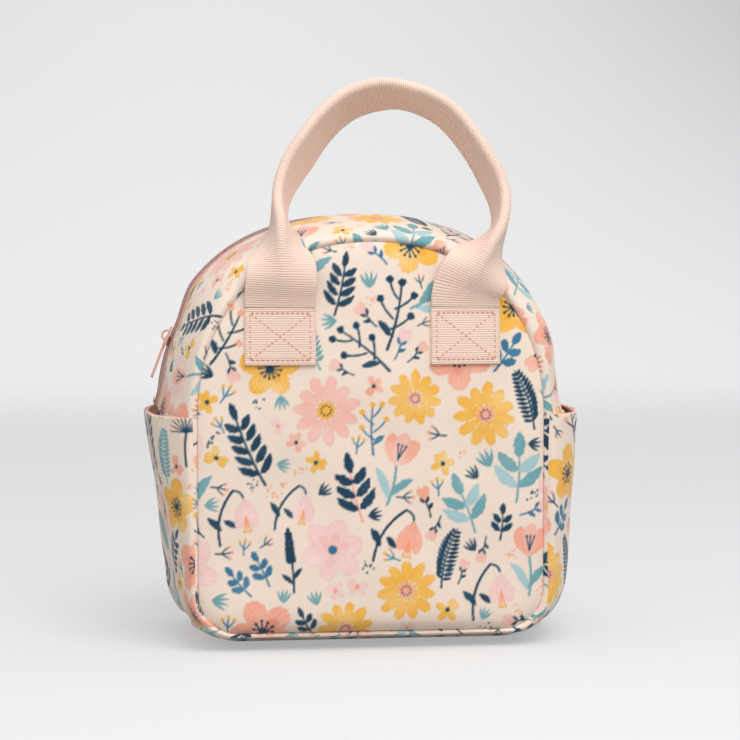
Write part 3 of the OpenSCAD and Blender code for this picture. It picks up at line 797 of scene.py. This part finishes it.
def small_solids(name, solids, mat):
    """One mesh of many closed solids, each given as a row of rings."""
    solids = np.array(solids)
    rows, sides = solids.shape[1:3]
    parts = [wrapped(rows, sides, i * rows * sides) for i in range(len(solids))]
    groups = [(np.concatenate(part), 0, True) for part in zip(*parts)]
    return make(name, solids.reshape(-1, 3), groups, mats=(mat,))


def sandwich(name, outer, inner, cloth, k=COARSE, printed=True, mats=None):
    """A padded panel: a fine outer grid, a coarse inner one, and a rim that joins them."""
    nu, nv = outer.shape[:2]
    low = inner[::k, ::k]
    mu, mv = low.shape[:2]
    verts = np.concatenate([outer.reshape(-1, 3), low.reshape(-1, 3)])
    place = np.concatenate([cloth.reshape(-1, 2), cloth[::k, ::k].reshape(-1, 2)])
    fine, coarse = edge_loop(nu, nv), edge_loop(mu, mv, nu * nv)
    rim = np.array([[*fine[j * k:(j + 1) * k + 1], coarse[j + 1], coarse[j]] for j in range(len(coarse) - 1)])
    groups = [(quads(nu, nv), 0, True), (quads(mu, mv, nu * nv)[:, ::-1], 1, True), (rim[:, ::-1], 0, True)]
    colour = print_at(place) if printed else None
    return make(name, verts, groups, colour, place, mats=mats or (CLOTH_MAT, LINING_MAT))


def bends(obj):
    """The piece's placement is baked into its vertices."""
    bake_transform(obj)


def carried(obj, blended):
    """The piece's placement is baked into its vertices, or it rides on the bag alone."""
    if blended:
        bends(obj)
    else:
        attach(obj, "bag")


def stands_for(obj, *nodes, pad=None, slot="print_fabric"):
    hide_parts(*nodes)
    return obj


# ---- front and back panels
def panel_outline():
    """The panel's outline as rows (angle, x, z), turning left from the middle of the base."""
    half = PANEL_R - CORNER_R
    rows = [(-90, 0, SEAM_Z)]
    for deg in np.arange(-90, 270.1, 0.5):
        c, s = math.cos(math.radians(deg)), math.sin(math.radians(deg))
        if 0 <= deg <= 180:
            r = seam_r(math.radians(deg))
            rows.append((deg, r * c, ARCH_Z + r * s))
        else:
            side = 1 if deg < 0 else -1
            rows.append((deg, side * half + CORNER_R * c, SEAM_Z + CORNER_R + CORNER_R * s))
    return np.array(rows + [(270, 0, SEAM_Z)])


OUT = panel_outline()


def between(start, end):
    """The outline's points from one angle to another, turning left."""
    i, j = (int(np.argmin(np.abs(OUT[:, 0] - deg))) for deg in (start, end))
    return OUT[i:j + 1, 1:] if i <= j else np.vstack([OUT[i:, 1:], OUT[1:j + 1, 1:]])


def panel_grid():
    """A grid of points (x, z) over the panel, drawn between its four edges."""
    right, top = between(-45, 45), between(45, 135)[::-1]
    left, bottom = between(135, 225)[::-1], between(225, -45)
    nu, nv = steps(length(bottom)), steps(length(left))
    bottom, top, left, right = even(bottom, nu), even(top, nu), even(left, nv), even(right, nv)
    u, v = np.linspace(0, 1, nu)[:, None, None], np.linspace(0, 1, nv)[None, :, None]
    xz = (1 - v) * bottom[:, None] + v * top[:, None] + (1 - u) * left[None] + u * right[None]
    return xz - ((1 - u) * (1 - v) * bottom[0] + u * (1 - v) * bottom[-1]
                 + (1 - u) * v * top[0] + u * v * top[-1])


xz = panel_grid()
X, Z = xz[..., 0], xz[..., 1]
front = np.stack([X, panel_y(X, Z), Z], -1)
inside = np.stack([X * 0.97, np.minimum(front[..., 1] + PAD_T, -LINING_Y), ARCH_Z + (Z - ARCH_Z) * 0.965], -1)
panel = sandwich("front_panel", front, inside, xz + (160, 34))
bends(panel)
stands_for(panel, "front_panel_upper", "front_panel_lower", "foam_front_upper", "foam_front_lower",
           "lining_front_upper", "lining_front_lower", pad=0.55)

rear = np.stack([X, -panel_y(X, Z, 2.0), Z], -1)
inside = inside * (1, -1, 1)
panel = sandwich("back_panel_padded", rear, inside, xz * (-1, 1) + (40, 190))
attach(panel, "bag")
stands_for(panel, "back_panel", "foam_back", "lining_back", pad=0.55)


# ---- gussets, sides and base
def strip(name, inner, outer, edge, offset, nodes, blended, shape=None, seed=1.0, late=1.0):
    """A padded strip of printed cloth between two outlines, with edge as its section."""
    e = spline(edge)
    nu, nv = steps(max(length(inner), length(outer))), steps(length(e))
    inner, outer = even(inner, nu), even(outer, nu)
    p = lofted(inner, outer, edge, nv, shape, late)
    n = outward(p)
    deep = p - n * PAD_T
    deep[..., 1] = np.clip(deep[..., 1], -LINING_Y, LINING_Y)
    cloth = flat_cloth(length(outer), nu, length(e), nv) + offset
    obj = sandwich(name, uneven(p, n, seed, 0.6, 8), deep, cloth)
    carried(obj, blended)
    return stands_for(obj, *nodes, pad=0.6)


low, high = arch(np.linspace(math.pi, 0, 721))
strip("front_gusset_padded", low, high, FRONT_EDGE, (35, 120),
      ["front_gusset", "foam_front_gusset", "lining_front_gusset"], True, late=1.7)
strip("back_gusset_padded", low, high, BACK_EDGE, (150, 260),
      ["back_gusset", "foam_back_gusset", "lining_back_gusset"], False, seed=2.2, late=2.6)

for side, label in ((-1, "left"), (1, "right")):
    low, high = path(np.linspace(0, PAD_END, 400), side)
    strip(f"side_padded_{label}", low, high, WHOLE_EDGE, (60 * side + 90, 20),
          [f"side_panel_{label}", f"foam_side_{label}", f"lining_side_{label}"], False, seed=3.0 + side)


def settled(out, y):
    """The section of the base, pressed a little flatter in its middle."""
    return np.minimum(out * 1.12, BULGE * 0.985), y


halves = path(np.linspace(PAD_END, 3, 300), -1), path(np.linspace(3, PAD_END, 300)[1:], 1)
low, high = (np.vstack(pair) for pair in zip(*halves))
strip("base_padded", low, high, WHOLE_EDGE, (210, 95),
      ["base_panel", "foam_base", "lining_base"], False, settled, seed=6.0)


# ---- side pockets
# How much of its own loose section a pocket shows, at these places from its mouth down
SLACK_AT = (0, 0.3, 0.6, 0.8, 1.0, 1.3, 1.5, POCKET_END)
SLACK = {-1: (1.0, 0.9, 0.62, 0.45, 0.34, 0.2, 0.1, 0.0),
         1: (1.0, 1.1, 1.15, 1.1, 0.95, 0.7, 0.35, 0.1)}


def pocket(side, label):
    """The slip pocket on the left (-1) or right (1), and the binding in its mouth."""
    inner, outer = path(np.linspace(0, POCKET_END, 500), side)
    n, nv = steps(length(outer)), steps(length(spline(POCKET_EDGE)))
    s = np.linspace(0, 1, n)
    inner, outer = even(inner, n), even(outer, n)
    body, loose = spline(WHOLE_EDGE, nv), spline(POCKET_EDGE, nv)
    fit = np.interp(s * POCKET_END, SLACK_AT, SLACK[side])
    fit = softened(fit, np.ones(41) / 41)[:, None]
    out = body[None, :, 0] * (1 - fit) + loose[None, :, 0] * fit + 0.4
    y = body[None, :, 1] * (1 - fit) + loose[None, :, 1] * fit
    tuck = np.clip((s - 0.93) / 0.07, 0, 1)[:, None] ** 2
    out = out - 1.6 * tuck
    d = outer - inner
    size = np.linalg.norm(d, axis=1, keepdims=True)
    out = out * np.where(out > BULGE, 1, size / BULGE) + np.where(out > BULGE, size - BULGE, 0)
    xz = inner[:, None, :] + out[..., None] * (d / size)[:, None, :]
    p = np.stack([xz[..., 0], y, xz[..., 1]], -1)
    away = outward(p)
    p = uneven(p, away, 4.0 + side, 0.8, 6)
    deep = p - away * POCKET_T
    deep[..., 1] = np.clip(deep[..., 1], -POCKET_Y, POCKET_Y)
    cloth = flat_cloth(length(outer), n, length(loose), nv)[..., ::-1] * (side, -1)
    cloth = cloth + (130 + 90 * side, 250)
    obj = sandwich(f"pocket_cloth_{label}", p, deep, cloth, mats=(CLOTH_MAT, CLOTH_MAT))
    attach(obj, "bag")
    stands_for(obj, f"pocket_{label}")
    a, b = p[1:, :-1] - p[:-1, :-1], p[:-1, 1:] - p[:-1, :-1]
    area = float(np.linalg.norm(np.cross(a, b), axis=2).sum()) * MM ** 2
    wide = length(p[0]) * MM
    row = p[0] - away[0] * (POCKET_T + 0.35)
    row[:, 2] = ARCH_Z - 0.4
    obj = tube(f"pocket_edge_{label}", even(row[::4], 160), 0.8, 10, (0, 0, 1), PIPING_MAT)
    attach(obj, "bag")
    stands_for(obj, f"pocket_binding_{label}", slot="binding")


def tube(name, rail, radius, sides, up, mat):
    """A round cord along rail, closed at both ends."""
    t = unit(np.gradient(rail, axis=0))
    a = unit(np.cross(t, up))
    b = np.cross(t, a)
    q = circle(sides)
    ring = a[:, None] * np.cos(q)[None, :, None] + b[:, None] * np.sin(q)[None, :, None]
    p = rail[:, None] + ring * radius
    faces, caps = wrapped(len(rail), sides)
    cloth = np.stack(grid(distances(rail), q * radius)[::-1], -1).reshape(-1, 2)
    return make(name, p.reshape(-1, 3), [(faces, 0, True), (caps, 0, False)], None, cloth, mats=(mat,))


for side, label in ((-1, "left"), (1, "right")):
    pocket(side, label)


# ---- zip
def ring_point(a, r, y):
    """The point at angle a round the arch, r from its middle line."""
    return np.stack([r * np.cos(a), y + 0 * a, ARCH_Z + r * np.sin(a)], -1)


def tape(name, y0, y1, nodes, blended):
    """One side of the zip's woven tape, just below the cloth."""
    k, start, end = 4, 0.01, math.pi - 0.01
    nu, nv = steps((end - start) * TAPE_R, 1.4, k), steps(abs(y1 - y0), 1.0, k)
    a, y = grid(np.linspace(start, end, nu), np.linspace(y0, y1, nv))
    off = np.abs(y - ZIP_Y)
    r = zip_r(a) - 0.25 * off - 0.6 * np.clip((off - 5.5) / 3, 0, 1)
    obj = sandwich(name, ring_point(a, r, y), ring_point(a, r - 0.7, y), np.stack([y, a * TAPE_R], -1),
                   k=k, printed=False, mats=(TAPE_MAT, TAPE_MAT))
    carried(obj, blended)
    return stands_for(obj, *nodes, slot="zip_tape")


tape("zip_tape_near", ZIP_Y - TAPE_HALF, ZIP_Y - 0.5, ["zip_tape_front", "zip_tape_front_ends"], True)
tape("zip_tape_far", ZIP_Y + 0.5, ZIP_Y + TAPE_HALF, ["zip_tape_back"], False)


def teeth(name, side, nodes, blended):
    """A row of coil teeth: each a rounded loop from the tape to the middle of the zip."""
    pitch, sides = 1.45, 6
    count = int(math.pi * ARCH_R / pitch)
    angles = (np.arange(count) + (0.25 if side < 0 else 0.75)) * math.pi / count
    q = circle(sides)
    solids = []
    for c in angles:
        rings = []
        for off, rad in ((2.9, 0.30), (2.5, 0.52), (1.0, 0.55), (-0.25, 0.50), (-0.75, 0.26)):
            r = zip_r(c) + 0.5 + rad * 0.9 * np.sin(q)
            rings.append(ring_point(c + rad * np.cos(q) / ARCH_R, r, ZIP_Y + side * off))
        solids.append(rings)
    obj = small_solids(name, solids, COIL_MAT)
    carried(obj, blended)
    return stands_for(obj, *nodes, slot="zip_chain")


teeth("zip_coil_near", -1, ["zip_chain_front", "zip_chain_front_ends"], True)
teeth("zip_coil_far", 1, ["zip_chain_back"], False)


# ---- handle and its sewn ends
HANDLE_GAP, HANDLE_LEAN, HANDLE_RISE = 0.3, math.radians(17), 118.0
TAB_TURN = math.degrees(math.asin(TAB_X / CROWN_RAD))
LOOP_Y = float(crown_y(TAB_X, TAB_TOP)) - HANDLE_GAP - WEB_T / 2
LOOP_Z = TAB_TOP + HANDLE_GAP
# The middle of the loop, as x, the share of its lean, and its height over the tabs
ROUTE = np.array([
    (-TAB_X, 0, -0.35), (-TAB_X, -0.04, 5), (-49.5, -0.14, 18), (-49, 0.0, 40), (-45.5, 0.36, 62),
    (-30, 0.76, 91), (-9, 0.94, 110.5), (17, 1, 116), (43, 0.92, 106.5), (61, 0.7, 84),
    (68, 0.42, 64), (67, 0.02, 43), (56.5, -0.16, 21), (50.6, -0.05, 8), (TAB_X, 0, -0.35)])
# The webbing folds lengthwise over a line that starts in its middle and moves out to one edge
FOLD_R, RIM, LOOP_TIP = 2.0, 13.0, math.radians(13)
# How far it has closed, in degrees, by the millimetres up each leg; then how far the left leg is turned
RISE = (0, 12, 25, 30, 36, 43, 50, 60, 400)
CLOSE = (0, 2, 14, 34, 53, 68, 79, 86, 87)
SHOW = ((0, TAB_TURN), (12, TAB_TURN), (50, 8), (80, 17), (130, 12), (190, 0), (400, 0))


# The weights that round off the corners in the webbing's path, at a point every WEB_STEP
WEB_STEP, SOFT = 0.31, np.exp(-(np.arange(-60, 61) / 22.0) ** 2)
SOFT /= SOFT.sum()


def along(v, s):
    """Points on a smooth curve through the rows of v, s rows from its start."""
    i = np.minimum(np.floor(s).astype(int), len(v) - 2)
    neighbours = (v[np.clip(i + k, 0, len(v) - 1)] for k in (-1, 0, 1, 2))
    return cubic(*neighbours, (s - i)[:, None])


def ribs(s):
    """How high the webbing's cross ribs stand, s along it."""
    return 0.10 * np.abs(np.sin(s * math.pi / WEB_RIB)) - 0.04


def handle():
    """The webbing loop, which folds lengthwise as it rises from its two sewn ends."""
    last = len(ROUTE) - 1
    route = ROUTE * (1, HANDLE_RISE * math.tan(HANDLE_LEAN), 1) + (0, LOOP_Y, LOOP_Z)
    s = np.linspace(0, last, 4001)
    far = distances(along(route, s))
    n = int(far[-1] / WEB_STEP)
    v = np.linspace(0, far[-1], n)
    s = np.interp(v, far, s)
    c = along(route, s)
    t = unit(along(route, np.minimum(s + 0.02, last)) - along(route, np.maximum(s - 0.02, 0)))
    t[s < 1] = (0, 0, 1)
    t[s > last - 1] = (0, 0, -1)
    t = unit(np.stack([softened(part, SOFT) for part in t.T], -1))
    left = v < far[-1] / 2
    rise = np.where(left, v, (far[-1] - v) * 1.1)

    def eased(x, y):
        return softened(np.interp(rise, x, y), SOFT)[:, None]
    close = np.radians(eased(RISE, CLOSE))
    line_at = -eased((0, 45, 95, 400), (0, 0, RIM, RIM))
    forward = eased((0, 20, 40, 60, 100, 400), (0, 2.0, 5.5, 8, 16.5, 16.5))
    inward = eased((0, 45, 95, 400), (0, 0, 1, 1))
    tip = LOOP_TIP * np.clip(c[:, 2] - LOOP_Z, 0, 60) / 60
    deep = np.stack([0 * tip, np.cos(tip), -np.sin(tip)], -1)
    deep = unit(deep - (deep * t).sum(1, keepdims=True) * t)
    wide = unit(np.cross(deep, t))
    right_turn = np.interp(rise, (0, 12, 60, 400), (TAB_TURN, TAB_TURN, 0, 0))
    turn = np.where(left, np.interp(rise, *zip(*SHOW)), right_turn)
    turn = np.radians(softened(turn, SOFT))[:, None]
    wide, deep = wide * np.cos(turn) - deep * np.sin(turn), deep * np.cos(turn) + wide * np.sin(turn)
    half, thick = WEB_W / 2, WEB_T / 2
    cols = np.linspace(-1, 1, 41) * (half - 0.6)
    rim = [(half - 0.1, thick * 0.45), (half, 0), (half - 0.1, -thick * 0.45)]
    sect = np.array([(x, thick * 0.86) for x in cols] + rim)
    sect = np.vstack([sect, -sect])
    q = sect[None, :, 0] - line_at
    arc = np.minimum(np.abs(q), FOLD_R * close)
    flat = np.abs(q) - arc
    at = arc / FOLD_R
    across = np.sign(q) * (FOLD_R * np.sin(at) + flat * np.cos(close)) + line_at * (1 - inward)
    back = FOLD_R * (1 - np.cos(at)) + flat * np.sin(close) - forward
    swell = np.sign(sect[:, 1])[None, :] * ribs(v)[:, None] + sect[None, :, 1]
    across = across + swell * np.sign(q) * np.sin(at)
    back = back - swell * np.cos(at)
    p = c[:, None] + wide[:, None] * across[..., None] + deep[:, None] * back[..., None]
    faces, caps = wrapped(n, len(sect))
    cloth = np.stack(grid(v, sect[:, 0])[::-1], -1).reshape(-1, 2)
    obj = make("handle_webbing", p.reshape(-1, 3), [(faces, 0, True), (caps, 0, False)], None, cloth,
               mats=(WEB_MAT,))
    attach(obj, "handle")
    return stands_for(obj, "handle", slot="webbing")


handle()


def sewn_end(side, label):
    """The webbing sewn flat on the panel, and the thread of the box and cross on it."""
    x = np.linspace(-1, 1, 41) * WEB_W / 2 + side * TAB_X
    z = np.linspace(TAB_TOP - TAB_H, TAB_TOP, 101)
    X, Z = grid(x, z)
    edge = np.minimum(WEB_W / 2 - np.abs(X - side * TAB_X), Z - z[0])
    round_off = 0.7 * np.exp(-np.clip(edge, 0, None) / 0.5)
    puckers = 0.25 * np.exp(-(np.minimum(np.abs(Z - z[0] - 3), np.abs(Z - TAB_TOP + 3)) / 0.8) ** 2)
    y = crown_y(X, Z) - WEB_T + round_off - ribs(Z - TAB_TOP)
    top = np.stack([X, y + puckers, Z], -1)
    under = np.stack([X, crown_y(X, Z) + 0.3, Z], -1)
    cloth = np.stack([X - side * TAB_X, Z - TAB_TOP], -1)
    obj = sandwich(f"tab_{label}", top, under, cloth, k=4, printed=False, mats=(WEB_MAT, WEB_MAT))
    bends(obj)
    stands_for(obj, f"handle_tab_{label}", slot="webbing")
    half, low, high = WEB_W / 2 - 3, TAB_TOP - TAB_H + 3, TAB_TOP - 3
    near, far = side * TAB_X - half, side * TAB_X + half
    a, b, c, d = np.array([(near, low), (far, low), (far, high), (near, high)], float)
    q = circle(8)
    t = np.array([-1, -0.6, 0, 0.6, 1])
    rad = 0.36 * np.array([0.35, 0.85, 1, 0.85, 0.35])[:, None]
    lift = -0.18 + 0.42 * (1 - t ** 2)
    solids = []
    for start, end in ((a, b), (d, c), (a, d), (b, c), (a, c), (d, b)):
        span = np.linalg.norm(end - start)
        way = (end - start) / span
        count = int(span / 2.6)
        for i in range(count):
            rows = (start + way * (i + 0.5) * span / count)[None] + way[None] * t[:, None] * 0.95
            y = crown_y(rows[:, 0], rows[:, 1]) - WEB_T - lift
            solids.append(np.stack([rows[:, None, 0] - way[1] * rad * np.cos(q),
                                    y[:, None] - rad * np.sin(q),
                                    rows[:, None, 1] + way[0] * rad * np.cos(q)], -1))
    obj = small_solids(f"tab_thread_{label}", solids, THREAD_MAT)
    bends(obj)
    stands_for(obj, f"tab_stitching_{label}", slot="thread")


sewn_end(-1, "left")
sewn_end(1, "right")


# ---- metal parts and base board
def fitted(name, body, piece, shift):
    """A metal part with softened edges, set on the zip where the full gusset carries it."""
    mesh = frame["nodes"][name].data.copy()
    co = np.array([v.co for v in mesh.vertices])
    mesh.vertices.foreach_set("co", (co + shift(co)).astype(np.float32).ravel())
    mesh.materials.clear()
    mesh.materials.append(METAL_MAT)
    obj = added(piece, mesh)
    work = bmesh.new()
    work.from_mesh(mesh)
    bmesh.ops.remove_doubles(work, verts=work.verts, dist=1e-6)
    bmesh.ops.dissolve_limit(work, angle_limit=0.02, verts=work.verts, edges=work.edges)
    work.to_mesh(mesh)
    work.free()
    soft = obj.modifiers.new("edges", "BEVEL")
    soft.width, soft.segments, soft.limit_method, soft.angle_limit = 0.00022, 3, "ANGLE", 0.6
    for f in mesh.polygons:
        f.use_smooth = True
    smooth = obj.modifiers.new("normals", "WEIGHTED_NORMAL")
    smooth.keep_sharp = True
    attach(obj, body)
    return stands_for(obj, name, slot="zip_metal")


SLIDER_A = math.radians(159)
OUTWARD = np.array([math.cos(SLIDER_A), 0, math.sin(SLIDER_A)])
JOINTS = {j["name"]: j for j in frame["record"]["behaviour"]["joints"]}
PIVOT = np.array(JOINTS["pull_swing"]["pos_m"])
RING_OUT, PULL_LEAN = 0.0015, math.radians(11)
# What lies at these radii in the solids comes to lie on the zip: in the slider, and in the end stops
SLIDER_R, STOPS_R = 109.3, 108.8
# From this radius on, the slider's shift blends from its plates' to its ring's, in metres
PLATES_END, BLEND = 0.1118, 0.0016


def on_the_zip(co):
    """The slider's plates lie on the zip, and its ring stays close to the pull's axis."""
    high = np.hypot(co[:, 0], co[:, 2] - ARCH_Z * MM)
    share = np.clip((high - PLATES_END) / BLEND, 0, 1)[:, None]
    plates = (float(zip_r(SLIDER_A)) + 0.3 - SLIDER_R) * MM
    return OUTWARD * (plates + (RING_OUT - plates) * share)


def leaning(co):
    """The pull hangs clear of the full gusset under the ring."""
    x, z = co[:, 0] - PIVOT[0], co[:, 2] - PIVOT[2]
    c, s = math.cos(PULL_LEAN), math.sin(PULL_LEAN)
    turned = np.stack([x * c + z * s, 0 * x, z * c - x * s], -1)
    return turned - np.stack([x, 0 * x, z], -1) + OUTWARD * RING_OUT


def on_the_tape(co):
    """Each end stop moves out with the zip that is under it."""
    angle = np.arctan2(np.maximum(co[:, 2] - ARCH_Z * MM, 0), co[:, 0])
    out = np.zeros_like(co)
    for side in (-1, 1):
        here = co[:, 0] * side > 0
        out[here, 0] = side * (float(zip_r(angle[here].mean())) - STOPS_R) * MM
    return out


fitted("zip_slider", "zip_slider", "slider", on_the_zip)
fitted("zip_pull", "zip_pull", "pull", leaning)
fitted("zip_stops", "bag", "stops", on_the_tape)

board = frame["nodes"]["base_board"].data
board.materials.clear()
board.materials.append(BOARD_MAT)

# ---- floor, light and camera
m, t, b = material("studio", 0.95, 0, 0.1)
feed(t, b.inputs["Base Color"], (0.42, 0.42, 0.42))
x, _, z = node(t, "SeparateXYZ", Vector=object_vector(t)).outputs
# painted light: the floor and backdrop glow for camera, glossy and transmission rays, the backdrop more than
# the floor; painted shade makes the glow fade higher up, more so towards the sides
rise = scaled(t, calc(t, "SMOOTH_MIN", times(t, z, 20.0), 1.0, 0.3), 0.125, 0.385)
side = scaled(t, times(t, x, x), 0.55, 0.09)
glow = calc(t, "SUBTRACT", rise, times(t, side, z))
ray = node(t, "LightPath").outputs
direct = calc(t, "MAXIMUM", ray["Is Glossy Ray"], ray["Is Transmission Ray"])
direct = calc(t, "MAXIMUM", ray["Is Camera Ray"], direct)
seen = times(t, calc(t, "MAXIMUM", glow, 0.0), direct)
feed(t, b.inputs["Emission Color"], (1.0, 1.0, 1.0))
feed(t, b.inputs["Emission Strength"], seen)
rows = spline([(-900, 0.0), (-500, 0.0), (900, 0.0), (1500, 60), (1850, 420), (1950, 1100), (1960, 2400)], 60)
p = np.stack([np.array([(x, y, z - 0.05) for y, z in rows]) for x in (-3000.0, 3000.0)])
faces = [tuple(int(i) for i in f) for f in quads(*p.shape[:2])]
mesh = bpy.data.meshes.new("studio")
mesh.from_pydata([tuple(v * MM) for v in p.reshape(-1, 3)], [], faces)
mesh.materials.append(m)
for f in mesh.polygons:
    f.use_smooth = True
added("studio", mesh)

world = bpy.data.worlds.new("studio_light")
SCENE.world = world
world.use_nodes = True
for i, v in enumerate(((1.0, 1.0, 1.0), 0.56)):
    feed(world.node_tree, world.node_tree.nodes["Background"].inputs[i], v)


def lamp(name, at, target, size, power):
    d = bpy.data.lights.new(name, "AREA")
    d.shape, d.size, d.energy = "SQUARE", size, power
    o = added(name, d)
    o.location = at
    o.rotation_euler = (Vector(target) - Vector(at)).to_track_quat("-Z", "Y").to_euler()


lamp("key", (0.4, -1.3, 1.75), (0, 0, 0.12), 1.5, 30.5)
lamp("fill", (-1.5, -1.3, 1.0), (0, 0, 0.12), 1.4, 4.5)
lamp("top", (0.1, 0.1, 1.9), (0, 0, 0.1), 1.6, 6)

camera = added("camera", bpy.data.cameras.new("camera"))
turn, tip = math.radians(7.0), math.radians(3.22)
distance, aside, height = 1.250, 0.0060, 0.216
forward = Vector((math.sin(turn) * math.cos(tip), math.cos(turn) * math.cos(tip), -math.sin(tip)))
right = Vector((math.cos(turn), -math.sin(turn), 0))
back = Vector((-math.sin(turn), -math.cos(turn), 0))
camera.location = back * distance + right * aside + Vector((0, 0, height))
camera.rotation_euler = forward.to_track_quat("-Z", "Y").to_euler()
FOCAL, WIDTH, SENSOR = 2219, 740, 36  # the first two in the photo's pixels
camera.data.sensor_width = SENSOR
camera.data.lens = FOCAL / WIDTH * SENSOR
SCENE.camera = camera
SCENE.view_settings.view_transform = "Standard"
